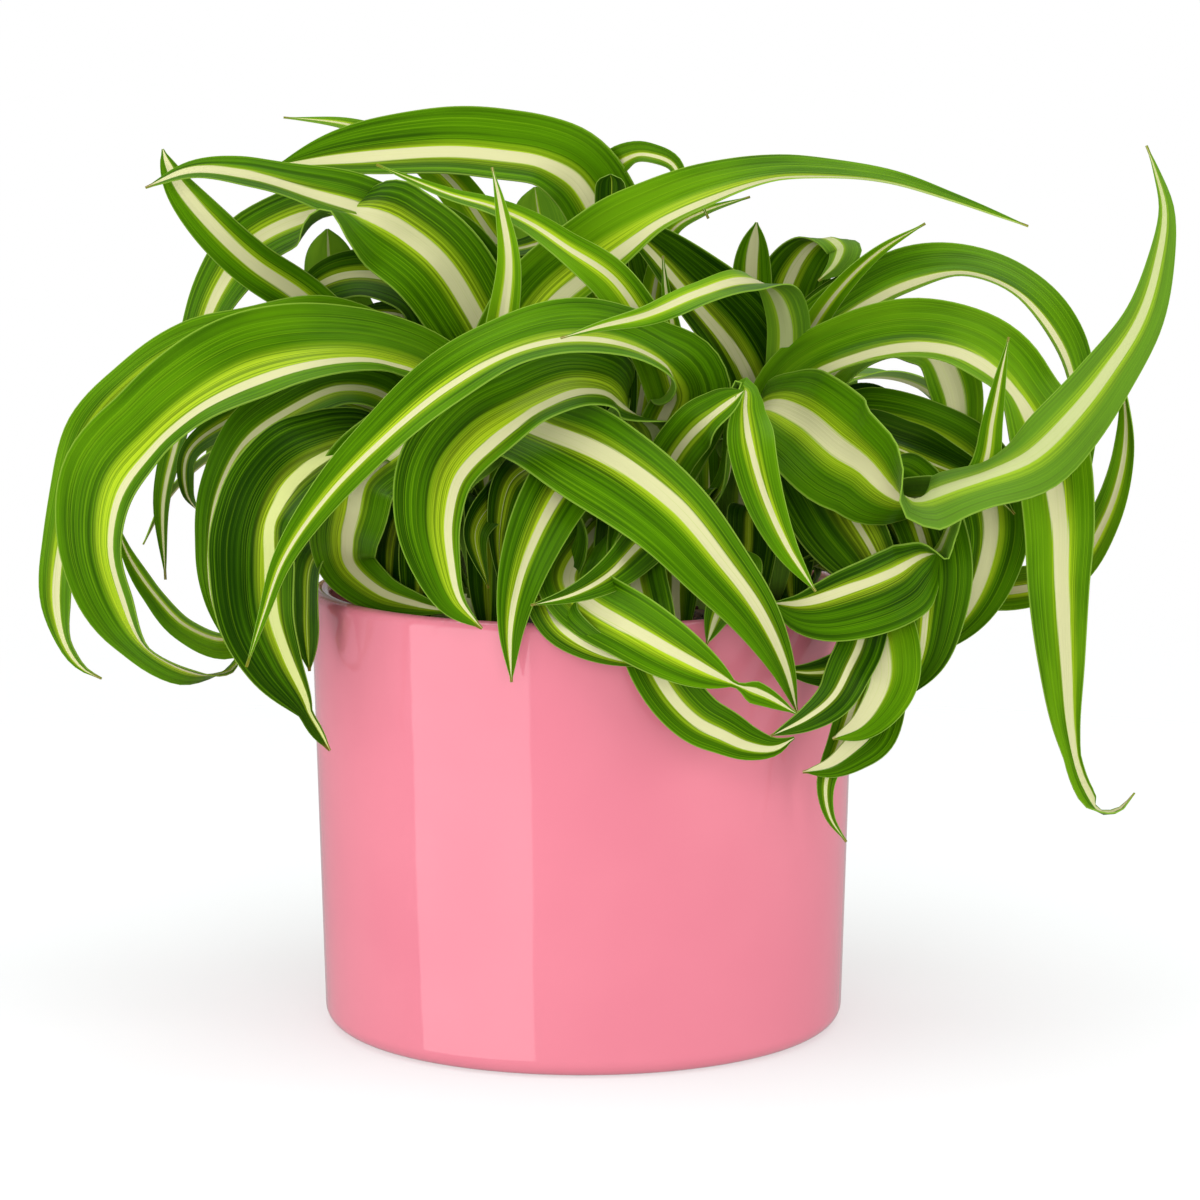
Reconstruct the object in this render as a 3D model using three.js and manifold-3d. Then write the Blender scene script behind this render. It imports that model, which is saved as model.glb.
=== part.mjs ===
// A variegated spider plant growing in a plain glazed pot.
// Millimetres, +Z up. The origin is the centre of the pot's flat underside, and -Y is the front.
import * as THREE from 'three';
import { mergeVertices } from 'three/addons/utils/BufferGeometryUtils.js';
import Module from 'manifold-3d';

const wasm = await Module();
wasm.setup();
const { Manifold, Mesh: SolidMesh } = wasm;

// Driving dimensions
const POT = {
  height: 113.3,
  topRadius: 70,
  footRadius: 67,
  footFillet: 4.5,
  wall: 5,
  floor: 7,
  innerFillet: 8,
  sides: 40,
  footSteps: 3,
  rimSteps: 6,
  insideSteps: 2,
};
const SOIL = {
  top: 101,
  mound: 2.5,
  crumb: 0.7,
  ripple: 0.4,
  fineCrumb: 0.4,
  fineRipple: 0.8,
  calm: 6,
  rings: 5,
  spokes: 22,
};
const CROWN = {
  radius: 5,
  buried: 11,
  shoulder: 16,
  tipRadius: 3.4,
  height: 25,
  footEdge: 1,
  sides: 10,
  turn: 0.13,
  holeSides: 14,
};
const BLADE = {
  thickness: 0.75,
  segment: 22.5,
  fewestSegments: 6,
  flatWidth: 13,
  broadest: 0.38,
  channelRest: 0.35,
  curveSteps: 400,
  archStations: 8,
  archChannel: 0.22,
  archTaper: 2.3,
  archReach: 2,
  archRise: 6,
  archBend: 0.85,
  rootShare: 0.34,
  rootLean: 0.2,
  rootReach: 2.4,
  rootHeight: 18,
  rootStep: 1,
  rootRise: 10,
  sheathStep: 0.9,
};
const GAP = 0.3;
const WELD = 1e-3;

// A blade's section, as [side, face]: a wide blade has a channel and a narrow one is flat
const CHANNEL_SECTION = [[-1, 1], [0, 1], [1, 1], [1, -1], [0, -1], [-1, -1]];
const FLAT_SECTION = [[-1, 1], [1, 1], [1, -1], [-1, -1]];

// Where a blade's upper side looks: front, back, left, right, up and down
const LOOK = {
  F: new THREE.Vector3(0, -1, 0),
  B: new THREE.Vector3(0, 1, 0),
  L: new THREE.Vector3(-1, 0, 0),
  R: new THREE.Vector3(1, 0, 0),
  U: new THREE.Vector3(0, 0, 1),
  D: new THREE.Vector3(0, 0, -1),
};

// Each rosette has its crown's place in the soil, the blades that the front shows, and the arching
// blades behind them. A shown blade is [width, channel depth over half width, taper, stations],
// where a high taper keeps it broad almost to its tip. A station is [x, y, z, looks], and a repeated
// letter in looks weighs more.
// An arching blade is [width, azimuth, length, launch, landing, swing] in millimetres and degrees.
const ROSETTES = [
  { name: 'left_front_rosette', x: -28, y: -26, leaves: [
    // centre upright
    [9, 0.22, 2.3, [[-24,-30,156,'F'], [-20,-38,182,'F'], [-18,-42,199,'F'], [-20,-43,213,'F'],
      [-22,-43,222,'F']]],
    // front broad
    [24, 0.22, 2.3, [[-32,-26,138,'R'], [-30,-36,152,'RU'], [-21,-45,160,'UF'], [-8,-53,157,'FU'],
      [7,-62,150,'F'], [21,-70,140,'F'], [32,-74,128,'F'], [41,-76,117,'F'], [48,-74,104,'F'],
      [52,-72,92,'F']]],
    // left front hang
    [22, 0.22, 4.5, [[-42,-22,145,'RU'], [-52,-32,154,'UF'], [-63,-45,154,'UF'], [-73,-55,148,'F'],
      [-79,-60,138,'FFL'], [-80,-62,126,'F'], [-79,-62,113,'F'], [-75,-60,102,'F'], [-69,-58,92,'F'],
      [-66,-56,86,'F'], [-62,-56,80,'F']]],
    // left rim curl
    [20.5, 0.22, 2, [[-39,-34,156,'UF'], [-48,-41,152,'F'], [-55,-46,146,'F'], [-57,-48,138,'F'],
      [-59,-42,130,'F'], [-58,-33,122,'F'], [-51,-32,116,'F'], [-41,-40,114,'F'], [-31,-47,113,'F']]],
    // left rim dark
    [14, 0.22, 4, [[-46,-20,136,'U'], [-60,-26,132,'UL'], [-68,-31,124,'FL'], [-69,-36,112,'FL'],
      [-68,-39,97,'F']]],
    // left fill a
    [13, 0.22, 5, [[-34,-32,139,'B'], [-37,-36,138,'U'], [-39,-36,130,'F'], [-40,-33,119,'F'],
      [-41,-31,106,'F']]],
    // left fill b
    [12, 0.22, 5, [[-26,-33,139,'B'], [-24,-38,139,'U'], [-23,-41,129,'F'], [-23,-41,118,'F'],
      [-23,-40,104,'F']]],
    // left fill c
    [11, 0.22, 5, [[-42,-28,139,'B'], [-44,-33,138,'U'], [-47,-32,129,'F'], [-48,-29,120,'F'],
      [-48,-27,110,'F']]],
  ], arches: [
  ] },
  { name: 'left_rosette', x: -36, y: 2, leaves: [
    // top right long
    [18, 0.3, 1.6, [[-33,-8,136,'F'], [-27,-12,160,'F'], [-20,-16,176,'F'], [-11,-20,190,'F'],
      [2,-22,201,'F'], [16,-22,210,'FU'], [30,-22,216,'UF'], [47,-20,220,'UUF'], [62,-18,220,'UUF'],
      [77,-16,218,'UUF'], [93,-14,213,'UUF'], [112,-12,206,'UF']]],
    // left diagonal
    [12, 0.22, 7, [[-40,10,155,'F'], [-57,10,172,'F'], [-71,6,186,'F'], [-84,-3,196,'F'],
      [-93,-8,205,'F'], [-102,-9,216,'F'], [-105,-8,222,'F'], [-106,-6,225,'UF']]],
    // left back curl
    [12, 0.22, 2.3, [[-47,4,153,'U'], [-63,6,160,'UF'], [-78,6,159,'UF'], [-92,4,154,'FL'],
      [-101,2,147,'FL'], [-102,4,137,'FD'], [-99,10,130,'DB']]],
    // left outer arch
    [19, 0.22, 3.4, [[-37,6,150,'RF'], [-47,2,171,'UF'], [-64,-5,180,'UF'], [-84,-14,178,'UF'],
      [-101,-14,174,'UFL'], [-115,-14,165,'UFL'], [-124,-16,154,'FL'], [-129,-18,139,'FL'],
      [-132,-20,125,'FL'], [-133,-20,111,'FFL'], [-131,-20,101,'FL'], [-127,-20,95,'FD'],
      [-122,-20,92,'DF']]],
    // left big arch
    [24, 0.3, 2.8, [[-33,-4,154,'RF'], [-37,-10,169,'UF'], [-50,-20,176,'UF'], [-65,-32,178,'UF'],
      [-82,-38,175,'UFF'], [-96,-42,168,'UFFL'], [-108,-44,158,'FL'], [-118,-44,146,'FFL'],
      [-121,-42,130,'FFL'], [-118,-38,115,'FFL'], [-111,-34,102,'FLD'], [-99,-28,94,'DF'],
      [-90,-20,94,'D'], [-87,-14,98,'DB']]],
    // left mid arch
    [16, 0.22, 2.3, [[-41,-12,152,'U'], [-49,-15,164,'UF'], [-61,-20,167,'UF'], [-74,-26,162,'UF'],
      [-85,-30,154,'FL'], [-91,-34,142,'FL'], [-93,-36,128,'FL'], [-92,-36,114,'F'],
      [-89,-34,103,'F']]],
    // left low back
    [14, 0.22, 2.3, [[-47,-2,143,'U'], [-64,-7,144,'U'], [-77,-15,127,'L'], [-82,-19,109,'LD'],
      [-90,-20,101,'DF'], [-101,-20,105,'DF'], [-109,-20,114,'FD'], [-115,-20,124,'F'],
      [-118,-20,133,'F']]],
  ], arches: [
  ] },
  { name: 'centre_rosette', x: 12, y: -24, leaves: [
    // centre tip left
    [13, 0.3, 1.3, [[24,-22,148,'F'], [21,-28,169,'F'], [15,-34,182,'F'], [7,-37,194,'F'],
      [-4,-37,202,'FU'], [-13,-36,208,'FU'], [-22,-35,212,'FU'], [-33,-32,215,'FU'],
      [-51,-27,222,'F']]],
    // centre inner tip
    [6, 0.22, 2.3, [[22,-14,162,'F'], [23,-16,178,'F'], [21,-18,189,'F'], [20,-20,199,'F']]],
    // front sweep left
    [20, 0.22, 1.7, [[22,-26,151,'F'], [27,-34,165,'F'], [21,-45,176,'FU'], [8,-56,183,'UF'],
      [-5,-62,184,'UF'], [-20,-68,180,'UF'], [-34,-74,172,'UFF'], [-48,-80,160,'FFU'],
      [-61,-82,146,'F'], [-71,-82,131,'F'], [-76,-82,117,'F'], [-80,-82,105,'F']]],
    // centre fold
    [12.5, 0.22, 3.6, [[34,-40,143,'L'], [36,-48,157,'L'], [37,-52,165,'L'], [38,-53,169,'UL'],
      [40,-54,169,'UR'], [40,-56,164,'RF'], [41,-60,155,'F'], [44,-66,143,'F'], [49,-72,132,'F'],
      [56,-74,122,'F']]],
    // front curl
    [22, 0.22, 4.8, [[14,-34,144,'B'], [14,-42,159,'U'], [8,-47,169,'UF'], [-2,-54,172,'UF'],
      [-15,-61,168,'FU'], [-27,-65,161,'F'], [-35,-67,151,'F'], [-37,-69,139,'F'], [-35,-71,128,'F'],
      [-31,-73,119,'F'], [-24,-74,113,'F']]],
    // rim small right
    [11.5, 0.22, 4, [[38,-50,126,'U'], [37,-57,120,'F'], [33,-66,116,'F'], [30,-72,109,'F']]],
    // rim inner
    [12, 0.22, 6, [[20,-34,137,'B'], [23,-42,132,'F'], [23,-47,122,'F'], [23,-49,114,'F'],
      [24,-50,105,'F']]],
    // inner dark mid
    [12, 0.22, 2.3, [[-2,-30,131,'B'], [-9,-36,148,'U'], [-17,-44,145,'F'], [-20,-48,134,'F'],
      [-20,-50,119,'F']]],
    // inner dark left
    [12, 0.22, 2.3, [[-9,-30,134,'B'], [-13,-31,142,'U'], [-21,-43,140,'F'], [-26,-51,133,'F'],
      [-23,-54,120,'F']]],
    // front point down
    [18, 0.22, 2.3, [[8,-32,131,'B'], [7,-40,147,'BU'], [1,-48,152,'U'], [-6,-56,144,'F'],
      [-11,-62,135,'F'], [-15,-69,124,'F'], [-17,-73,113,'F'], [-17,-74,100,'F']]],
    // front low point
    [13, 0.22, 2.3, [[27,-37,142,'U'], [21,-48,137,'UF'], [14,-60,131,'F'], [6,-76,126,'F'],
      [-3,-87,123,'F'], [-12,-90,121,'F']]],
    // rim hang centre
    [15, 0.22, 2.3, [[2,-36,135,'B'], [-6,-50,126,'U'], [-8,-62,120,'UF'], [-5,-70,114,'F'],
      [1,-75,110,'F'], [9,-78,107,'F'], [19,-79,105,'F']]],
    // rim hang right
    [17, 0.22, 6, [[7,-36,135,'U'], [0,-48,129,'U'], [-3,-60,123,'UF'], [2,-71,119,'F'],
      [11,-80,115,'F'], [20,-84,110,'F'], [29,-86,105,'F'], [37,-85,101,'F'], [44,-84,98,'F'],
      [51,-83,94,'F']]],
    // centre fill a
    [13, 0.22, 5, [[13,-32,138,'B'], [11,-38,138,'U'], [9,-46,130,'F'], [8,-50,120,'F'],
      [8,-51,105,'F']]],
    // centre fold in
    [12, 0.22, 12, [[18,-42,140,'F'], [21,-48,150,'F'], [26,-54,158,'F'], [32,-59,164,'FU'],
      [39,-61,169,'FU']]],
    // rim loop left
    [14.2, 0.22, 6, [[14,-38,135,'U'], [13,-56,126,'UF'], [15,-71,117,'F'], [17,-76,107,'F'],
      [22,-78,98,'F'], [28,-79,92,'F'], [34,-80,89,'F'], [40,-79,86,'F'], [46,-78,85,'F'],
      [51,-77,87,'F']]],
  ], arches: [
  ] },
  { name: 'right_front_rosette', x: 46, y: -24, leaves: [
    // right cascade inner
    [23, 0.22, 4, [[51,-24,150,'B'], [54,-30,152,'U'], [58,-36,144,'F'], [63,-41,135,'F'],
      [70,-45,125,'F'], [76,-47,113,'F']]],
    // right cascade outer
    [17, 0.22, 5, [[62,-20,143,'B'], [70,-27,146,'U'], [81,-36,142,'F'], [86,-41,133,'F'],
      [88,-45,123,'F'], [87,-47,112,'F'], [85,-48,102,'F'], [80,-48,92,'F']]],
    // right spike
    [9, 0.22, 2.3, [[66,-34,144,'U'], [81,-42,138,'U'], [91,-47,139,'UF'], [98,-50,149,'F'],
      [100,-51,161,'F'], [102,-50,172,'F'], [104,-48,181,'F']]],
    // right fan
    [20, 0.22, 8, [[65,-16,140,'U'], [78,-28,139,'U'], [87,-41,139,'UR'], [91,-49,136,'R'],
      [89,-51,131,'R'], [87,-51,128,'R'], [83,-52,125,'RRF'], [79,-54,122,'RFF'], [74,-58,120,'F'],
      [67,-62,118,'F'], [58,-65,116,'F'], [52,-66,116,'F'], [46,-66,118,'F']]],
    // right low curl inner
    [13, 0.22, 4.5, [[65,-10,121,'U'], [72,-28,111,'U'], [74,-40,99,'F'], [74,-46,91,'F'],
      [72,-50,83,'F'], [67,-54,79,'F'], [61,-57,76,'F'], [54,-58,75,'F']]],
    // right low curl outer
    [14, 0.22, 4.5, [[67,-26,123,'U'], [72,-38,118,'U'], [74,-48,112,'F'], [76,-54,105,'F'],
      [76,-57,98,'F'], [73,-60,92,'F'], [68,-62,87,'F'], [61,-62,84,'F']]],
    // right low dark
    [16, 0.22, 2.3, [[72,-34,114,'U'], [72,-46,105,'F'], [64,-52,100,'F'], [56,-54,99,'F'],
      [48,-54,100,'F']]],
    // rim loop
    [12, 0.22, 3.4, [[67,-34,124,'U'], [70,-46,116,'F'], [68,-56,107,'F'], [65,-63,102,'F'],
      [61,-70,96,'F'], [54,-79,92,'F'], [45,-86,89,'F']]],
    // right low tip
    [9, 0.22, 2.6, [[70,-22,123,'U'], [74,-34,112,'F'], [69,-46,96,'F'], [64,-50,82,'F'],
      [60,-52,71,'F'], [61,-53,63,'F'], [65,-55,57,'F']]],
    // right fill a
    [13, 0.22, 5, [[50,-24,138,'B'], [51,-28,139,'U'], [52,-31,129,'F'], [52,-33,119,'F'],
      [53,-34,109,'F']]],
    // right fill b
    [13, 0.22, 5, [[46,-28,137,'B'], [43,-31,137,'U'], [42,-36,128,'F'], [41,-39,119,'F'],
      [41,-41,105,'F']]],
  ], arches: [
  ] },
  { name: 'right_rosette', x: 40, y: 2, leaves: [
    // back right broad
    [23, 0.22, 2.3, [[50,14,149,'F'], [48,12,164,'F'], [41,7,178,'F'], [29,2,191,'F'], [17,-1,202,'F'],
      [6,2,208,'F']]],
    // right cross left
    [11, 0.22, 1.8, [[49,4,153,'B'], [52,0,170,'B'], [52,-6,182,'BU'], [48,-16,191,'U'],
      [40,-28,193,'UF'], [29,-42,191,'FU'], [16,-56,187,'F'], [4,-67,185,'F'], [-5,-75,183,'F']]],
    // s curl
    [28, 0.2, 1.1, [[40,-10,149,'LU'], [41,-20,158,'UF'], [46,-30,163,'UF'], [54,-40,160,'F'],
      [62,-50,154,'F'], [68,-56,150,'FFD'], [73,-59,145,'FD'], [77,-60,142,'FDD'], [81,-61,141,'D'],
      [85,-62,143,'DDB'], [90,-63,145,'DDB'], [98,-65,148,'DDB'], [108,-67,153,'DB'],
      [117,-68,162,'DBB'], [126,-66,173,'B'], [135,-61,186,'B'], [140,-54,200,'B'], [142,-47,212,'B'],
      [140,-42,221,'B'], [138,-38,227,'B']]],
    // right hang
    [20, 0.3, 2.8, [[46,-2,153,'UF'], [53,-6,168,'UF'], [66,-12,176,'UF'], [83,-20,180,'UF'],
      [98,-28,177,'UF'], [109,-36,167,'FR'], [115,-42,153,'F'], [117,-46,136,'F'], [117,-48,119,'F'],
      [118,-48,101,'F'], [120,-46,83,'F'], [124,-44,69,'F'], [129,-42,62,'U'], [134,-40,62,'U'],
      [138,-38,66,'UL']]],
    // right inner hang
    [19, 0.22, 2.3, [[56,4,161,'UF'], [68,2,174,'UF'], [81,0,178,'UF'], [90,-2,174,'FR'],
      [95,-4,164,'F'], [96,-6,153,'F'], [96,-8,140,'F'], [95,-8,128,'F']]],
    // right mid band
    [14, 0.22, 2.3, [[56,1,149,'U'], [70,-14,155,'UF'], [80,-20,153,'UF'], [90,-23,149,'F'],
      [101,-26,143,'F'], [108,-28,135,'F']]],
    // right outer curl
    [19, 0.22, 3.4, [[57,-4,154,'U'], [71,-8,157,'UF'], [89,-13,153,'UF'], [101,-20,143,'F'],
      [104,-25,132,'F'], [102,-29,121,'F'], [97,-32,111,'F'], [90,-34,104,'F'], [83,-35,100,'F']]],
    // right fill c
    [16, 0.22, 5, [[60,1,142,'U'], [72,-3,138,'UF'], [80,-9,131,'F'], [84,-13,121,'F'],
      [86,-15,110,'F']]],
    // right mid dark
    [12, 0.22, 3, [[56,9,150,'U'], [65,10,156,'UF'], [72,10,160,'UF'], [80,10,156,'F'], [85,9,150,'F'],
      [89,7,141,'F']]],
  ], arches: [
  ] },
  { name: 'back_left_rosette', x: -30, y: 34, leaves: [
    // left back tip
    [12, 0.22, 2.3, [[-12,34,158,'F'], [-18,36,189,'F'], [-27,36,204,'F'], [-36,34,216,'F'],
      [-48,32,225,'FU'], [-61,30,230,'UF'], [-78,28,232,'UUF']]],
    // left long top
    [18, 0.22, 3.2, [[-20,22,175,'F'], [-29,20,193,'F'], [-41,16,204,'FU'], [-56,7,211,'FU'],
      [-71,2,215,'FU'], [-85,-8,219,'FU'], [-98,-16,220,'FU'], [-109,-20,216,'UF']]],
    // left arch twist
    [25, 0.22, 1.5, [[-24,8,170,'F'], [-31,2,187,'F'], [-38,-1,197,'F'], [-47,0,204,'F'],
      [-54,1,208,'FU'], [-61,3,210,'U'], [-72,8,207,'FU'], [-84,10,201,'FU'], [-90,11,194,'FL'],
      [-96,12,184,'FL'], [-101,14,169,'FL'], [-105,12,152,'FL'], [-109,8,134,'FFL'], [-108,4,114,'F']]],
    // left inner dark
    [15, 0.22, 2.3, [[-33,18,159,'F'], [-38,18,174,'F'], [-46,17,181,'UF'], [-55,16,182,'UF'],
      [-64,14,179,'U']]],
    // left inner back
    [23, 0.22, 2.3, [[-24,24,163,'F'], [-34,20,179,'F'], [-45,16,189,'FU'], [-58,14,192,'UF'],
      [-68,14,189,'FL'], [-74,14,182,'FL'], [-78,16,172,'FL']]],
    // left pale back
    [15, 0.22, 14, [[-49,32,163,'B'], [-61,32,178,'B'], [-66,31,191,'B'], [-67,30,203,'B']]],
  ], arches: [
    [17, 114, 150, 80, -86, 8],
    [17, 142, 125, 72, -84, -4],
    [14, 100, 112, 66, -84, 2],
    [13, 160, 100, 58, -80, 6],
    [13, 126, 92, 42, -80, 0],
    [13, 104, 74, 26, -75, 0],
  ] },
  { name: 'back_rosette', x: 0, y: 28, leaves: [
    // back hook
    [13, 0.22, 1.6, [[4,30,158,'F'], [4,28,195,'F'], [5,26,210,'F'], [7,24,219,'F'], [13,20,223,'FFU'],
      [18,16,223,'FFU'], [23,13,221,'F'], [26,10,216,'F'], [30,8,211,'F'], [32,6,207,'F']]],
    // top left long
    [20, 0.22, 6, [[15,28,158,'F'], [10,26,195,'F'], [5,24,209,'F'], [-1,22,218,'F'],
      [-10,20,223,'FFU'], [-21,18,225,'FFU'], [-34,17,226,'FFU'], [-50,17,225,'FFU'],
      [-65,18,223,'FFU'], [-79,20,220,'FFU']]],
    // back stub
    [8, 0.22, 70, [[10,20,159,'F'], [8,16,191,'F'], [7,12,206,'F'], [7,11,218,'F']]],
    // back tip right
    [8, 0.22, 2.3, [[15,26,158,'F'], [19,24,190,'F'], [23,20,203,'UF'], [31,18,208,'UF'],
      [43,16,212,'UF']]],
    // back cross low
    [11, 0.22, 2.3, [[6,24,177,'F'], [-2,26,200,'UF'], [-17,28,198,'UF'], [-26,30,196,'UF'],
      [-35,32,188,'UF']]],
    // back pale
    [15.5, 0.22, 20, [[-1,42,174,'B'], [-9,48,193,'B'], [-12,50,206,'B'], [-13,50,213,'B']]],
    // back fill
    [12, 0.22, 4, [[15,26,140,'F'], [21,26,153,'F'], [28,24,163,'F'], [36,22,168,'F'],
      [43,21,171,'F']]],
  ], arches: [
    [18, 86, 160, 80, -86, 4],
    [16, 70, 125, 72, -86, -2],
    [16, 103, 130, 70, -84, 2],
    [13, 78, 102, 56, -84, 2],
    [13, 96, 88, 40, -80, -2],
  ] },
  { name: 'back_right_rosette', x: 32, y: 34, leaves: [
    // back upright
    [11, 0.22, 9, [[44,30,166,'F'], [44,28,184,'F'], [44,26,195,'F'], [45,24,205,'F']]],
    // right tip up
    [7, 0.22, 2.3, [[51,22,159,'F'], [59,15,178,'F'], [67,9,190,'F'], [76,4,199,'F'], [87,0,206,'F']]],
    // back right loop
    [21, 0.22, 3, [[48,34,158,'F'], [52,33,179,'F'], [56,32,191,'F'], [61,30,198,'FD'],
      [65,27,200,'D'], [68,24,198,'DB'], [66,22,194,'B'], [61,21,190,'B']]],
    // right arch back
    [16, 0.3, 2.3, [[51,25,159,'UF'], [58,21,175,'UF'], [69,15,185,'UF'], [84,9,193,'UF'],
      [99,3,195,'UUF'], [113,-4,189,'UFR'], [123,-8,176,'FR'], [127,-8,159,'FR'], [127,-6,145,'FR'],
      [125,-2,130,'F'], [120,2,119,'F']]],
    // right arch behind
    [12, 0.22, 2.3, [[57,30,163,'F'], [61,28,181,'UF'], [72,25,190,'UF'], [83,21,194,'UF'],
      [94,18,194,'UF']]],
    // right far curl
    [12, 0.22, 2.3, [[61,14,139,'U'], [82,14,123,'U'], [98,10,112,'UF'], [113,4,112,'F'],
      [125,0,117,'F'], [133,-6,131,'F'], [137,-10,147,'F'], [137,-12,161,'FL'], [134,-12,174,'FL']]],
  ], arches: [
    [17, 62, 150, 80, -86, 6],
    [17, 34, 125, 70, -84, 6],
    [14, 80, 112, 64, -84, -2],
    [13, 12, 98, 56, -82, 4],
    [13, 48, 92, 42, -80, 0],
    [13, 72, 74, 26, -75, 0],
  ] },
];

// Materials, with the colours of the photographed plant
const finish = (name, color, roughness) =>
  new THREE.MeshStandardMaterial({ name, color, roughness, metalness: 0 });
const glaze = finish('pot_glaze', 0xf28c9e, 0.15);
const earth = finish('potting_soil', 0x3a2a1e, 0.95);
const green = finish('leaf_blade', 0x4f8a1e, 0.4);

// Welds a geometry's shared vertices and drops the flat triangles at a lathe's poles
function weld(geometry) {
  const bare = geometry.clone();
  for (const name of Object.keys(bare.attributes)) {
    if (name !== 'position') bare.deleteAttribute(name);
  }
  const welded = mergeVertices(bare, WELD);
  const index = welded.index.array;
  const kept = [];
  for (let i = 0; i < index.length; i += 3) {
    const [a, b, c] = [index[i], index[i + 1], index[i + 2]];
    if (a !== b && b !== c && c !== a) kept.push(a, b, c);
  }
  welded.setIndex(kept);
  return welded;
}

// Turns a closed geometry into a solid for joins and cuts
function solidOf(geometry) {
  const welded = weld(geometry);
  const solid = new Manifold(new SolidMesh({
    numProp: 3,
    vertProperties: new Float32Array(welded.attributes.position.array),
    triVerts: new Uint32Array(welded.index.array),
  }));
  if (solid.status() !== 'NoError' || solid.volume() <= 0) {
    throw new Error(`a geometry is not a closed solid: ${solid.status()}`);
  }
  return solid;
}

// Turns a solid back into a geometry
function geometryOf(solid) {
  const { vertProperties, triVerts, numProp } = solid.getMesh();
  const positions = [];
  for (let i = 0; i < vertProperties.length; i += numProp) {
    positions.push(vertProperties[i], vertProperties[i + 1], vertProperties[i + 2]);
  }
  const geometry = new THREE.BufferGeometry();
  geometry.setAttribute('position', new THREE.Float32BufferAttribute(positions, 3));
  geometry.setIndex([...triVerts]);
  geometry.computeVertexNormals();
  return geometry;
}

// Keeps the outer skin of a fused solid, so that a hollow sealed between roots is filled
function outerBody(solid) {
  const bodies = solid.decompose();
  return bodies.reduce((best, body) => (body.volume() > best.volume() ? body : best));
}

// Adds the points of a round corner to a profile, from one angle to another
function addArc(profile, x, y, radius, from, to, steps) {
  for (let i = 0; i <= steps; i++) {
    const angle = THREE.MathUtils.degToRad(from + ((to - from) * i) / steps);
    profile.push(new THREE.Vector2(x + radius * Math.cos(angle), y + radius * Math.sin(angle)));
  }
}

// The outer radius of the pot's wall at a height
function wallRadius(z) {
  return THREE.MathUtils.lerp(POT.footRadius, POT.topRadius, z / POT.height);
}

function potGeometry() {
  const rim = POT.wall / 2;
  const profile = [new THREE.Vector2(0, 0)];
  const footCentre = wallRadius(POT.footFillet) - POT.footFillet;
  addArc(profile, footCentre, POT.footFillet, POT.footFillet, -90, 0, POT.footSteps);
  addArc(profile, POT.topRadius - rim, POT.height - rim, rim, 0, 180, POT.rimSteps);
  const innerFloor = wallRadius(POT.floor) - POT.wall - POT.innerFillet;
  const innerHeight = POT.floor + POT.innerFillet;
  addArc(profile, innerFloor, innerHeight, POT.innerFillet, 0, -90, POT.insideSteps);
  profile.push(new THREE.Vector2(0, POT.floor));
  return geometryOf(solidOf(new THREE.LatheGeometry(profile, POT.sides)));
}

// The soil's top rises to a low mound, with two crossed ripples as its crumbs
function soilHeight(x, y, reach) {
  const broad = Math.sin(x * SOIL.ripple) * Math.cos(y * SOIL.ripple);
  const fine = Math.sin((x + y) * SOIL.fineRipple);
  const mound = SOIL.mound * (1 - reach * reach);
  return SOIL.top + mound + (SOIL.crumb * broad + SOIL.fineCrumb * fine) * (1 - reach ** SOIL.calm);
}

function soilGeometry() {
  const bottom = POT.floor + GAP;
  const topRadius = wallRadius(SOIL.top) - POT.wall - GAP;
  const sideFillet = POT.innerFillet;
  const lowRadius = wallRadius(POT.floor) - POT.wall - GAP;
  const profile = [new THREE.Vector2(0, bottom)];
  const lowCentre = lowRadius - sideFillet;
  addArc(profile, lowCentre, bottom + sideFillet, sideFillet, -90, 0, POT.insideSteps);
  for (let i = 0; i < SOIL.rings; i++) {
    profile.push(new THREE.Vector2(topRadius * (1 - i / SOIL.rings), SOIL.top));
  }
  profile.push(new THREE.Vector2(0, SOIL.top));
  const body = weld(new THREE.LatheGeometry(profile, SOIL.spokes));
  const place = body.attributes.position;
  const upright = new THREE.BufferGeometry();
  const points = [];
  for (let i = 0; i < place.count; i++) {
    const x = place.getX(i);
    const y = -place.getZ(i);
    const height = place.getY(i);
    const reach = Math.hypot(x, y) / topRadius;
    points.push(x, y, height >= SOIL.top - GAP ? soilHeight(x, y, Math.min(reach, 1)) : height);
  }
  upright.setAttribute('position', new THREE.Float32BufferAttribute(points, 3));
  upright.setIndex([...body.index.array]);
  let soil = solidOf(upright);
  for (const { x, y } of ROSETTES) {
    const depth = CROWN.buried + GAP;
    const tall = depth + SOIL.mound + CROWN.height;
    const hole = new THREE.CylinderGeometry(CROWN.radius + GAP, CROWN.radius + GAP, tall, CROWN.holeSides);
    hole.rotateX(Math.PI / 2);
    hole.translate(x, y, SOIL.top - depth + tall / 2);
    soil = soil.subtract(solidOf(hole));
  }
  return geometryOf(outerBody(soil));
}

// The short stem that a rosette's blades grow from, standing in its hole in the soil
function crownSolid(x, y) {
  const foot = SOIL.top - CROWN.buried;
  const profile = [
    new THREE.Vector2(0, foot),
    new THREE.Vector2(CROWN.radius - CROWN.footEdge, foot),
    new THREE.Vector2(CROWN.radius, foot + CROWN.footEdge),
    new THREE.Vector2(CROWN.radius, SOIL.top + CROWN.shoulder),
    new THREE.Vector2(CROWN.tipRadius, SOIL.top + CROWN.height),
    new THREE.Vector2(0, SOIL.top + CROWN.height + CROWN.footEdge),
  ];
  const stem = new THREE.LatheGeometry(profile, CROWN.sides);
  stem.rotateX(Math.PI / 2);
  stem.rotateZ(CROWN.turn);
  stem.translate(x, y, 0);
  return solidOf(stem);
}

// The way that a station's letters look
function lookOf(letters) {
  const look = new THREE.Vector3();
  for (const letter of letters) look.add(LOOK[letter]);
  return look.normalize();
}

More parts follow.
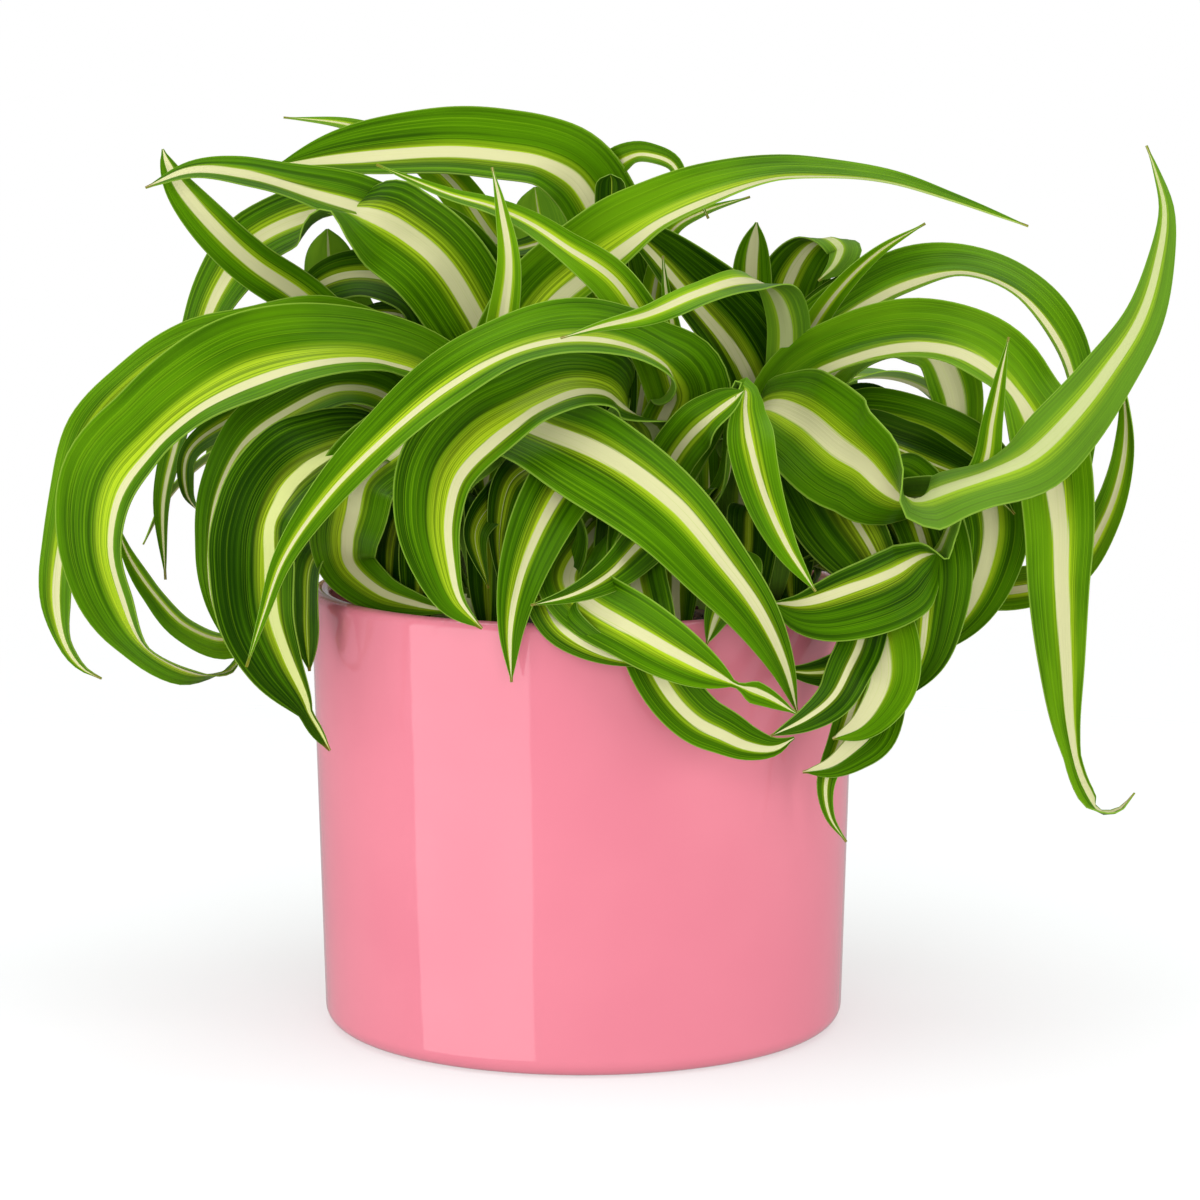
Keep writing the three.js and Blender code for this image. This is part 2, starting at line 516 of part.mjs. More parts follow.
// Stations of a blade that leaves its crown steeply, arches over and hangs
function archStations(crown, index, azimuth, length, launch, landing, swing) {
  const count = BLADE.archStations;
  const stations = [];
  let reach = CROWN.radius + BLADE.archReach + BLADE.sheathStep * index;
  let z = SOIL.top + BLADE.rootHeight + BLADE.rootRise + BLADE.archRise - BLADE.rootStep * index;
  for (let i = 0; i < count; i++) {
    const s = i / (count - 1);
    const heading = THREE.MathUtils.degToRad(azimuth + swing * s * s);
    const slope = THREE.MathUtils.lerp(launch, landing, Math.pow(s, BLADE.archBend));
    const pitch = THREE.MathUtils.degToRad(slope);
    const side = new THREE.Vector3(Math.cos(heading), Math.sin(heading), 0);
    const look = new THREE.Vector3(0, 0, Math.cos(pitch)).addScaledVector(side, -Math.sin(pitch));
    stations.push({ place: new THREE.Vector3(crown.x, crown.y, z).addScaledVector(side, reach), look });
    reach += (length / (count - 1)) * Math.cos(pitch);
    z += (length / (count - 1)) * Math.sin(pitch);
  }
  return stations;
}

// Half of a blade's width along it, as a share of its widest: narrow root, full middle, sharp tip
function widthShare(t, taper) {
  const rise = THREE.MathUtils.smoothstep(t, 0, BLADE.broadest);
  const fall = Math.max((t - BLADE.broadest) / (1 - BLADE.broadest), 0);
  return THREE.MathUtils.lerp(BLADE.rootShare, 1, rise) * (1 - Math.pow(fall, taper));
}

// A section's corners as [across, up] from the midline, with the margins higher than the midrib
function sectionCorners(section, half, channel) {
  return section.map(([side, face]) => {
    const rise = channel * half * (side * side - BLADE.channelRest);
    return [side * half, rise + (face * BLADE.thickness) / 2];
  });
}

// A blade with a channelled section, from inside its crown through its stations to its tip
function bladeSolid(crown, index, { width, channel, taper, stations }) {
  const first = stations[0].place;
  const outward = new THREE.Vector3(first.x - crown.x, first.y - crown.y, 0).normalize();
  const rootZ = SOIL.top + BLADE.rootHeight - BLADE.rootStep * index;
  const root = new THREE.Vector3(crown.x, crown.y, rootZ).addScaledVector(outward, BLADE.rootReach);
  const sheath = new THREE.Vector3(crown.x, crown.y, rootZ + BLADE.rootRise)
    .addScaledVector(outward, CROWN.radius + BLADE.sheathStep * index);
  const inward = outward.clone().negate().setZ(BLADE.rootLean).normalize();
  const places = [root, sheath, ...stations.map((station) => station.place)];
  const looks = [inward, inward, ...stations.map((station) => station.look)];
  const curve = new THREE.CatmullRomCurve3(places, false, 'centripetal');
  curve.arcLengthDivisions = BLADE.curveSteps;
  const segments = Math.max(BLADE.fewestSegments, Math.round(curve.getLength() / BLADE.segment));
  const section = width > BLADE.flatWidth ? CHANNEL_SECTION : FLAT_SECTION;
  const points = [];
  for (let i = 0; i <= segments; i++) {
    const t = i / segments;
    const centre = curve.getPointAt(t);
    const along = curve.getTangentAt(t);
    const knot = curve.getUtoTmapping(t) * (places.length - 1);
    const lower = Math.min(Math.floor(knot), places.length - 2);
    const look = looks[lower].clone().lerp(looks[lower + 1], knot - lower);
    look.addScaledVector(along, -look.dot(along)).normalize();
    const across = new THREE.Vector3().crossVectors(along, look);
    const half = Math.max((width / 2) * widthShare(t, taper), BLADE.thickness / 2);
    for (const [aside, lift] of sectionCorners(section, half, channel)) {
      const point = centre.clone().addScaledVector(across, aside).addScaledVector(look, lift);
      points.push(point.x, point.y, point.z);
    }
  }
  const sides = section.length;
  const underMiddle = sides / 2;
  const corners = [];
  for (let i = 0; i < segments; i++) {
    for (let j = 0; j < sides; j++) {
      const a = i * sides + j;
      const b = i * sides + ((j + 1) % sides);
      const c = a + sides;
      const d = b + sides;
      const mirrored = j === 0 || (section === CHANNEL_SECTION && j === underMiddle);
      corners.push(...(mirrored ? [a, b, d, a, d, c] : [a, b, c, b, d, c]));
    }
  }
  const end = segments * sides;
  for (let j = 1; j < sides - 1; j++) {
    corners.push(0, j + 1, j);
    corners.push(end, end + j, end + j + 1);
  }
  const geometry = new THREE.BufferGeometry();
  geometry.setAttribute('position', new THREE.Float32BufferAttribute(points, 3));
  geometry.setIndex(corners);
  return solidOf(geometry);
}

// A rosette is its crown with every blade fused into it
function rosetteGeometry(rosette) {
  const shown = rosette.leaves.map(([width, channel, taper, stations]) => ({
    width,
    channel,
    taper,
    stations: stations.map(([x, y, z, letters]) => {
      return { place: new THREE.Vector3(x, y, z), look: lookOf(letters) };
    }),
  }));
  const arching = rosette.arches.map(([width, ...course], index) => ({
    width,
    channel: BLADE.archChannel,
    taper: BLADE.archTaper,
    stations: archStations(rosette, shown.length + index, ...course),
  }));
  const blades = [...shown, ...arching].map((blade, index) => bladeSolid(rosette, index, blade));
  const fused = outerBody(Manifold.union([crownSolid(rosette.x, rosette.y), ...blades]));
  const geometry = weld(geometryOf(fused));
  geometry.computeVertexNormals();
  return geometry;
}

function named(name, geometry, material) {
  const mesh = new THREE.Mesh(geometry, material);
  mesh.name = name;
  return mesh;
}

const plant = new THREE.Group();
plant.name = 'potted_spider_plant';
const pot = named('pot', potGeometry(), glaze);
pot.rotation.x = Math.PI / 2;
plant.add(pot);
plant.add(named('soil', soilGeometry(), earth));
for (const rosette of ROSETTES) {
  plant.add(named(rosette.name, rosetteGeometry(rosette), green));
}

export default plant;
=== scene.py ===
"""A variegated spider plant in a plain glazed pot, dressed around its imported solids.

Metres, +Z up. The origin is the centre of the pot's flat underside, and -Y is the front. The
leaves' sizes and places are in millimetres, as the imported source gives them.
"""

from __future__ import annotations

import logging
import math
import random
from collections.abc import Callable
from dataclasses import dataclass
from enum import Enum
from typing import Any

import bpy
import numpy as np
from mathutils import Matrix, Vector, noise

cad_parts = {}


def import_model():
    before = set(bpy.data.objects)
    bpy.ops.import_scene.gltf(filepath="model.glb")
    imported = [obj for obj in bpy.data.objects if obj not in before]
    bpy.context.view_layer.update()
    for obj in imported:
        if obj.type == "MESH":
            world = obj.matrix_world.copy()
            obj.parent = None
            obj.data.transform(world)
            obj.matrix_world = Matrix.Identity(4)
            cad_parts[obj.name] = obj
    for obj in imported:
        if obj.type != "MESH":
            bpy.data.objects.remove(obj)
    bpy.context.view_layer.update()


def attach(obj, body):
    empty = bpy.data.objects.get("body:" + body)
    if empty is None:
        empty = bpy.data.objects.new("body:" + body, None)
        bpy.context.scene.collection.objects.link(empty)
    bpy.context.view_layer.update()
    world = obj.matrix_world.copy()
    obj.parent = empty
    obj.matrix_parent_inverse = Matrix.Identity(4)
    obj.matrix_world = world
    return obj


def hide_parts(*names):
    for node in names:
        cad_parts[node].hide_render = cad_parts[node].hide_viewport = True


LOG = logging.getLogger("spider_plant")
MM = 0.001
NEAR = 1e-5
LEVEL = 0.9
UP = np.array([0.0, 0.0, 1.0])
COLOUR_A, COLOUR_B, COLOUR_MIXED = 6, 7, 2
BODY = "root"
Colour = tuple[float, float, float, float]
Span = tuple[float, float]
Triple = tuple[float, float, float]


def tint(red: float, green: float, blue: float) -> Colour:
    """Turns a colour as a screen shows it, from 0 to 255, into the linear one of a shader.

    Args:
        red: Share of red.
        green: Share of green.
        blue: Share of blue.

    Returns:
        The linear colour with full alpha.
    """
    shares = [channel / 255 for channel in (red, green, blue)]
    linear = [s / 12.92 if s <= 0.04045 else ((s + 0.055) / 1.055) ** 2.4 for s in shares]
    return (linear[0], linear[1], linear[2], 1.0)


def unit(vectors: np.ndarray) -> np.ndarray:
    """Scales every vector along the last axis to length one."""
    return vectors / np.maximum(np.linalg.norm(vectors, axis=-1, keepdims=True), 1e-9)


def smooth(value: np.ndarray | float, low: float, high: float) -> np.ndarray | float:
    """Rises smoothly from 0 at low to 1 at high."""
    share = np.clip((value - low) / (high - low), 0, 1)
    return share * share * (3 - 2 * share)


def deselect() -> None:
    """Leaves object mode with nothing selected."""
    if bpy.context.object is not None and bpy.context.object.mode != "OBJECT":
        bpy.ops.object.mode_set(mode="OBJECT")
    bpy.ops.object.select_all(action="DESELECT")


def activate(*pieces: bpy.types.Object) -> None:
    """Selects these objects alone and makes the first one active."""
    deselect()
    for piece in pieces:
        piece.select_set(True)
    bpy.context.view_layer.objects.active = pieces[0]


def named(name: str) -> bpy.types.Object:
    """Names the object that an operator has just made, and its mesh."""
    piece = bpy.context.object
    piece.name = name
    piece.data.name = name
    return piece


def twin(piece: bpy.types.Object, name: str) -> bpy.types.Object:
    """Copies an object under a new name, with a mesh of its own."""
    copy = piece.copy()
    copy.name = name
    copy.data = piece.data.copy()
    bpy.context.scene.collection.objects.link(copy)
    return copy


def cone(
    name: str, sides: int, radii: Span, heights: Span, x: float = 0.0, y: float = 0.0
) -> bpy.types.Object:
    """Adds an upright cone with its tip cut off, the start of a round piece.

    Args:
        name: The new piece's name.
        sides: Number of its sides.
        radii: Its radius at the foot and at the top.
        heights: The heights of its foot and its top.
        x: Where its axis stands from left to right.
        y: Where its axis stands from front to back.

    Returns:
        The new object.
    """
    deselect()
    bpy.ops.mesh.primitive_cone_add(
        vertices=sides,
        radius1=radii[0],
        radius2=radii[1],
        depth=heights[1] - heights[0],
        location=(x, y, (heights[0] + heights[1]) / 2),
    )
    bpy.ops.object.transform_apply(location=True, rotation=True, scale=True)
    return named(name)


class Part(Enum):
    """The parts of a mesh that are selected, by where the mesh keeps them."""

    FACE = "polygons"
    EDGE = "edges"


def pick(piece: bpy.types.Object, part: Part, wanted: Callable[[Any], bool]) -> None:
    """Selects faces or edges in edit mode.

    Args:
        piece: The object, in object mode.
        part: Which of the two.
        wanted: A test on a face or an edge of the mesh.
    """
    activate(piece)
    bpy.ops.object.mode_set(mode="EDIT")
    bpy.ops.mesh.select_mode(type=part.name)
    bpy.ops.mesh.select_all(action="DESELECT")
    bpy.ops.object.mode_set(mode="OBJECT")
    for item in getattr(piece.data, part.value):
        item.select = bool(wanted(item))
    bpy.ops.object.mode_set(mode="EDIT")


def pick_end(piece: bpy.types.Object, side: int) -> None:
    """Selects in edit mode the level faces that look up, side 1, or down, side -1."""
    pick(piece, Part.FACE, lambda face: face.normal.z * side > LEVEL)


def round_edges(
    piece: bpy.types.Object, wanted: Callable[[Vector, Vector], bool], radius: float, segments: int
) -> None:
    """Rounds the edges whose two ends a test accepts.

    Args:
        piece: The object, in object mode.
        wanted: A test on the places of an edge's two ends.
        radius: Radius of the rounding.
        segments: Number of its steps.
    """
    points = piece.data.vertices
    pick(piece, Part.EDGE, lambda edge: wanted(*(points[i].co for i in edge.vertices)))
    bpy.ops.mesh.bevel(offset=radius, segments=segments, affect="EDGES")
    bpy.ops.object.mode_set(mode="OBJECT")


def settle(piece: bpy.types.Object, node: str) -> None:
    """Hands a finished piece over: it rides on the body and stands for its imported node."""
    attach(piece, BODY)
    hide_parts(node)
    LOG.info("%s made with %d faces", piece.name, len(piece.data.polygons))


class Wire:
    """A shader socket that takes part in sums as a number does."""

    def __init__(self, graph: Graph, socket: bpy.types.NodeSocket) -> None:
        """Wraps a node's output socket."""
        self.graph = graph
        self.socket = socket

    def _sum(self, operation: str, first: Any, second: Any) -> Wire:
        """Adds a Math node."""
        return self.graph.node("ShaderNodeMath", {"operation": operation}, {0: first, 1: second})

    def __add__(self, other: Any) -> Wire:
        """Adds."""
        return self._sum("ADD", self, other)

    def __radd__(self, other: Any) -> Wire:
        """Adds, from the right."""
        return self._sum("ADD", other, self)

    def __sub__(self, other: Any) -> Wire:
        """Subtracts."""
        return self._sum("SUBTRACT", self, other)

    def __rsub__(self, other: Any) -> Wire:
        """Subtracts from a number."""
        return self._sum("SUBTRACT", other, self)

    def __mul__(self, other: Any) -> Wire:
        """Multiplies."""
        return self._sum("MULTIPLY", self, other)

    def __abs__(self) -> Wire:
        """Takes the absolute value."""
        return self._sum("ABSOLUTE", self, 0.0)

    def step(self, low: float, high: float) -> Wire:
        """Rises smoothly from 0 at low to 1 at high, or falls where low is the higher."""
        sockets = {
            "Value": self,
            "From Min": min(low, high),
            "From Max": max(low, high),
            "To Min": float(low > high),
            "To Max": float(low < high),
        }
        settings = {"interpolation_type": "SMOOTHSTEP"}
        return self.graph.node("ShaderNodeMapRange", settings, sockets)


class Graph:
    """The node graph of one material."""

    def __init__(self, name: str) -> None:
        """Starts a material with its Principled node."""
        self.material = bpy.data.materials.new(name)
        self.material.use_nodes = True
        self.tree = self.material.node_tree
        self.shader = self.tree.nodes["Principled BSDF"]

    def node(self, kind: str, settings: dict, sockets: dict, output: int | str = 0) -> Wire:
        """Adds a node.

        Args:
            kind: The node's type.
            settings: Its properties, set first.
            sockets: Values or wires by the input's name or number.
            output: The output that is wanted.

        Returns:
            The wire from that output.
        """
        made = self.tree.nodes.new(kind)
        for key, value in settings.items():
            setattr(made, key, value)
        for key, value in sockets.items():
            self.feed(made.inputs[key], value)
        return Wire(self, made.outputs[output])

    def feed(self, socket: bpy.types.NodeSocket, value: Any) -> None:
        """Links a wire to a socket, or sets the socket to a value."""
        if isinstance(value, Wire):
            self.tree.links.new(value.socket, socket)
        else:
            socket.default_value = value

    def mix(self, factor: Any, first: Any, second: Any) -> Wire:
        """Mixes two colours by a factor from 0, the first, to 1, the second."""
        sockets = {"Factor": factor, COLOUR_A: first, COLOUR_B: second}
        return self.node("ShaderNodeMix", {"data_type": "RGBA"}, sockets, COLOUR_MIXED)

    def attribute(self, name: str) -> Wire:
        """Reads a number that the mesh carries."""
        return self.node("ShaderNodeAttribute", {"attribute_name": name}, {}, output="Fac")

    def vector(self, x: Any, y: Any, z: Any) -> Wire:
        """Joins three numbers into a vector."""
        return self.node("ShaderNodeCombineXYZ", {}, {0: x, 1: y, 2: z})

    def place(self) -> Wire:
        """Gives the object's own coordinates, in metres."""
        return self.node("ShaderNodeTexCoord", {}, {}, output="Object")

    def cloud(self, vector: Wire, scale: float, detail: float = 2.0) -> Wire:
        """Gives soft noise around one half."""
        sockets = {"Vector": vector, "Scale": scale, "Detail": detail}
        return self.node("ShaderNodeTexNoise", {}, sockets)

    def bump(self, height: Wire, strength: float, distance: float) -> None:
        """Raises the surface's light and shade by a height map."""
        sockets = {"Strength": strength, "Distance": distance, "Height": height}
        self.feed(self.shader.inputs["Normal"], self.node("ShaderNodeBump", {}, sockets))

    def finish(self, **sockets: Any) -> bpy.types.Material:
        """Feeds the Principled node's sockets, named with _ for a blank."""
        for key, value in sockets.items():
            self.feed(self.shader.inputs[key.replace("_", " ")], value)
        return self.material


@dataclass(frozen=True)
class Ramp:
    """A smooth rise, or fall, of a wire between two values, up to a share."""

    low: float
    high: float
    share: float = 1.0

    def of(self, wire: Wire) -> Wire:
        """Runs a wire through the ramp."""
        rise = wire.step(self.low, self.high)
        return rise if self.share == 1.0 else rise * self.share


@dataclass(frozen=True)
class Grain:
    """Noise that is drawn out along a leaf."""

    across: float
    along: float
    shift: float
    detail: float = 1.0

    def of(self, graph: Graph, lane: Wire, along: Wire, seed: Wire) -> Wire:
        """Draws the noise from the lane, the distance from the root and the leaf's seed."""
        spot = graph.vector(lane * self.across, along * self.along, seed + self.shift)
        return graph.cloud(spot, 1.0, self.detail)


class LeafSide(Enum):
    """The two sides of a leaf."""

    UPPER = "leaf_upper"
    UNDER = "leaf_under"


@dataclass(frozen=True)
class LeafFinish:
    """A satin leaf with a cream stripe between yellow-green bands and green margins. Each leaf's
    tone paints light and shade into it: low tones darken it and dull its stripe as painted shade,
    high tones add painted lit patches.
    """

    dark: Colour = tint(14, 45, 1)
    green: Colour = tint(72, 121, 2)
    light: Colour = tint(124, 168, 18)
    yellow: Colour = tint(176, 201, 34)
    cream: Colour = tint(198, 196, 148)
    pale_edge: Colour = tint(138, 170, 60)
    under: Colour = tint(118, 158, 54)
    dry: Colour = tint(132, 88, 40)
    sheen: Colour = tint(206, 236, 110)
    streaks: Grain = Grain(1.2, 0.012, 0.0)
    hairs: Grain = Grain(3.8, 0.01, 7.0)
    mottles: Grain = Grain(0.12, 0.03, 3.0, 2.0)
    streak_depth: Ramp = Ramp(0.3, 0.7, 0.24)
    hair_depth: Ramp = Ramp(0.35, 0.65, 0.14)
    # The tone settings below carry painted shade and painted light: tone_depth and depth darken
    # leaves of low tone as painted shade, lit_tone and lit_mottle lay painted lit patches of the
    # light green on leaves of high tone, and vein_tone, fringe_tone, cream_tone and stripe_tone dim
    # veins, bands and stripe on shaded leaves.
    tone_depth: float = 0.95
    mottle_depth: float = 0.6
    depth: Ramp = Ramp(0.1, 0.95)
    lit_tone: Ramp = Ramp(0.42, 0.75, 0.7)
    lit_mottle: Ramp = Ramp(0.35, 0.7)
    vein: Ramp = Ramp(0.58, 0.68)
    vein_share: float = 0.12
    vein_tone: float = 0.3
    fringe: Ramp = Ramp(1.1, 0.3)
    fringe_base: float = 0.36
    fringe_lines: Ramp = Ramp(0.42, 0.58, 0.6)
    fringe_hair: float = 0.55
    fringe_least: float = 0.5
    fringe_tone: float = 0.6
    ragged: float = 0.5
    stripe: Ramp = Ramp(1.12, 0.9)
    stripe_gap: Ramp = Ramp(0.62, 0.75, 0.35)
    stripe_tone: Ramp = Ramp(0.03, 0.09)
    cream_tone: Ramp = Ramp(0.04, 0.16, 0.6)
    cream_base: float = 0.4
    margin: Ramp = Ramp(0.96, 0.99, 0.6)
    tip: Ramp = Ramp(0.982, 0.998, 0.5)
    tip_ragged: float = 0.02
    under_share: float = 0.3
    roughness: float = 0.4
    under_rougher: float = 0.14
    hair_rougher: float = 0.2
    hair_height: float = 0.6
    bump_strength: float = 0.35
    bump_distance: float = 0.00025
    gloss: float = 0.18

    def make(self, side: LeafSide) -> bpy.types.Material:
        """Builds the material of one side of the leaves.

        Args:
            side: The side.

        Returns:
            The material.
        """
        graph = Graph(side.value)
        read = graph.attribute
        lane, along, seed = read("lane"), read("along"), read("seed")
        streak, hair, mottle = (
            grain.of(graph, lane, along, seed) for grain in (self.streaks, self.hairs, self.mottles)
        )
        # The leaf's tone, which carries its painted shade and painted light.
        tone = read("tone")
        colour = self._greens(graph, streak, hair, mottle, tone)
        colour = self._stripes(graph, colour, streak, hair, tone)
        colour = graph.mix(self.margin.of(abs(read("across"))), colour, self.pale_edge)
        tip = self.tip.of(read("reach") + (hair - 0.5) * self.tip_ragged)
        colour = graph.mix(tip, colour, self.dry)
        rough = self.roughness
        if side is LeafSide.UNDER:
            colour = graph.mix(self.under_share, colour, self.under)
            rough += self.under_rougher
        graph.bump(hair * self.hair_height + streak, self.bump_strength, self.bump_distance)
        return graph.finish(
            Base_Color=colour,
            Roughness=rough + (hair - 0.5) * self.hair_rougher,
            Specular_IOR_Level=self.gloss,
            Specular_Tint=self.sheen,
        )

    def _greens(self, graph: Graph, streak: Wire, hair: Wire, mottle: Wire, tone: Wire) -> Wire:
        """Mixes the greens of the blade with its lengthwise lines: low tone darkens it as painted
        shade, and high tone adds painted lit patches of light green.
        """
        # Painted shade: the leaf's tone, with its streaks and mottle, sets how far the green sinks
        # towards dark.
        depth = self.streak_depth.of(streak) + self.hair_depth.of(hair) + tone * self.tone_depth
        depth = self.depth.of(depth + (mottle - 0.5) * self.mottle_depth)
        colour = graph.mix(depth, self.dark, self.green)
        # Painted light: brighter patches of light green on leaves of high tone, broken up by the
        # mottle.
        colour = graph.mix(self.lit_tone.of(tone) * self.lit_mottle.of(mottle), colour, self.light)
        # Veins show more on leaves of higher tone, partly painted light.
        vein = self.vein.of(hair) * (self.vein_share + tone * self.vein_tone)
        return graph.mix(vein, colour, self.light)

    def _stripes(self, graph: Graph, colour: Wire, streak: Wire, hair: Wire, tone: Wire) -> Wire:
        """Lays the yellow-green fringe and the cream stripe over the greens, both dimmed on leaves
        of low tone as painted shade, with the cream turning yellow-green there.
        """
        lines = self.fringe_lines.of(hair * self.fringe_hair + streak * (1 - self.fringe_hair))
        fringe = self.fringe.of(abs(graph.attribute("fringe"))) * (self.fringe_base + lines)
        # Painted shade: the yellow-green fringe is weaker on leaves of low tone.
        fringe = fringe * (self.fringe_least + tone * self.fringe_tone)
        colour = graph.mix(fringe, colour, self.yellow)
        # Painted shade: the cream turns yellow-green on leaves of low tone.
        pale = graph.mix(self.cream_tone.of(tone) + self.cream_base, self.yellow, self.cream)
        seam = self.stripe.of(abs(graph.attribute("stripe")) + (hair - 0.5) * self.ragged)
        # Painted shade: the stripe fades away on the darkest leaves.
        share = seam * (1.0 - self.stripe_gap.of(hair)) * self.stripe_tone.of(tone)
        return graph.mix(share, colour, pale)


@dataclass(frozen=True)
class Mottle:
    """Two shades of one plain finish, mixed by soft noise, with a bump from finer noise."""

    name: str
    first: Colour
    second: Colour
    shades: Ramp
    scale: float
    detail: float
    bump_scale: float
    bump_detail: float
    bump_strength: float
    bump_distance: float
    roughness: float
    rougher: float

    def make(self) -> bpy.types.Material:
        """Builds the material."""
        graph = Graph(self.name)
        place = graph.place()
        grain = graph.cloud(place, self.scale, self.detail)
        fine = graph.cloud(place, self.bump_scale, self.bump_detail)
        graph.bump(fine, self.bump_strength, self.bump_distance)
        return graph.finish(
            Base_Color=graph.mix(self.shades.of(grain), self.first, self.second),
            Roughness=self.roughness + fine * self.rougher,
        )


CLAY = Mottle(
    "bare_clay", tint(226, 208, 190), tint(204, 182, 162), Ramp(0.35, 0.65),
    scale=900.0, detail=3.0, bump_scale=900.0, bump_detail=3.0,
    bump_strength=0.4, bump_distance=0.0002, roughness=0.75, rougher=0.2,
)
SOIL = Mottle(
    "potting_soil", tint(30, 20, 12), tint(78, 54, 36), Ramp(0.35, 0.7),
    scale=260.0, detail=4.0, bump_scale=700.0, bump_detail=3.0,
    bump_strength=0.7, bump_distance=0.0006, roughness=0.8, rougher=0.2,
)
STEM = Mottle(
    "leaf_crown", tint(206, 214, 150), tint(128, 158, 62), Ramp(0.35, 0.65),
    scale=120.0, detail=3.0, bump_scale=120.0, bump_detail=3.0,
    bump_strength=0.3, bump_distance=0.0004, roughness=0.5, rougher=0.1,
)


@dataclass(frozen=True)
class GlazeFinish:
    """A smooth, glossy coloured glaze on ceramic."""

    pink: Colour = tint(214, 122, 138)
    deep: Colour = tint(210, 117, 134)
    shades: Ramp = Ramp(0.3, 0.7)
    shade_scale: float = 22.0
    sag_scale: float = 14.0
    pore_scale: float = 90.0
    pore_height: float = 0.08
    bump_strength: float = 0.5
    bump_distance: float = 0.0012
    roughness: float = 0.05
    rougher: float = 0.02
    gloss: float = 0.5

    def make(self) -> bpy.types.Material:
        """Builds the material of the glazed pot."""
        graph = Graph("pink_glaze")
        place = graph.place()
        cloud = graph.cloud(place, self.shade_scale)
        sag = graph.cloud(place, self.sag_scale, 1.0)
        pores = graph.cloud(place, self.pore_scale, 1.0)
        graph.bump(sag + pores * self.pore_height, self.bump_strength, self.bump_distance)
        return graph.finish(
            Base_Color=graph.mix(self.shades.of(cloud), self.pink, self.deep),
            Roughness=self.roughness + cloud * self.rougher,
            Specular_IOR_Level=self.gloss,
        )


@dataclass(frozen=True)
class Pot:
    """The glazed pot, a slightly tapered cylinder with a rounded rim and foot."""

    height: float = 0.1133
    top_radius: float = 0.070
    foot_radius: float = 0.067
    wall: float = 0.005
    floor: float = 0.007
    foot_fillet: float = 0.0045
    inner_fillet: float = 0.008
    rim_share: float = 0.49
    fillet_steps: int = 8
    sides: int = 192
    foot_ring: float = 0.0075
    recess: float = 0.0012
    slack: float = 0.001
    sharpest: float = 40.0

    def radius(self, z: float) -> float:
        """Gives the outer radius of the wall at a height."""
        return self.foot_radius + (self.top_radius - self.foot_radius) * z / self.height

    def build(self) -> bpy.types.Object:
        """Models the pot from a cone that is hollowed and rounded."""
        top, floor = self.height, self.floor
        pot = cone("glazed_pot", self.sides, (self.foot_radius, self.top_radius), (0.0, top))
        inner_foot = self.radius(floor) - self.wall
        shrink = inner_foot / (self.radius(top) - self.wall)
        pick_end(pot, 1)
        bpy.ops.mesh.inset(thickness=self.wall, depth=0)
        bpy.ops.mesh.extrude_region_move(TRANSFORM_OT_translate={"value": (0, 0, floor - top)})
        bpy.ops.transform.resize(value=(shrink, shrink, 1), center_override=(0, 0, floor))
        bpy.ops.object.mode_set(mode="OBJECT")
        pick_end(pot, -1)
        bpy.ops.mesh.inset(thickness=self.foot_fillet + self.foot_ring, depth=0)
        bpy.ops.mesh.extrude_region_move(TRANSFORM_OT_translate={"value": (0, 0, self.recess)})
        bpy.ops.object.mode_set(mode="OBJECT")
        self._round_ring(pot, top, 0.0, self.wall * self.rim_share)
        self._round_ring(pot, 0.0, self.foot_radius - self.slack, self.foot_fillet)
        self._round_ring(pot, floor, inner_foot - self.slack, self.inner_fillet)
        self._dress(pot)
        return pot

    def _round_ring(self, pot: bpy.types.Object, z: float, reach: float, radius: float) -> None:
        """Rounds the edges at one height that lie beyond a distance from the axis."""

        def on_ring(point: Vector) -> bool:
            """Tells whether a point lies on the ring."""
            return abs(point.z - z) < NEAR and math.hypot(point.x, point.y) > reach

        round_edges(pot, lambda a, b: on_ring(a) and on_ring(b), radius, self.fillet_steps)

    def _dress(self, pot: bpy.types.Object) -> None:
        """Gives the pot its glaze, and bare clay where it stands."""
        pot.data.materials.append(GlazeFinish().make())
        pot.data.materials.append(CLAY.make())
        clay_reach = self.foot_radius - self.foot_fillet
        for face in pot.data.polygons:
            low = face.center.z < self.recess + 10 * NEAR
            if low and math.hypot(face.center.x, face.center.y) < clay_reach:
                face.material_index = 1
        activate(pot)
        bpy.ops.object.shade_smooth_by_angle(angle=math.radians(self.sharpest))


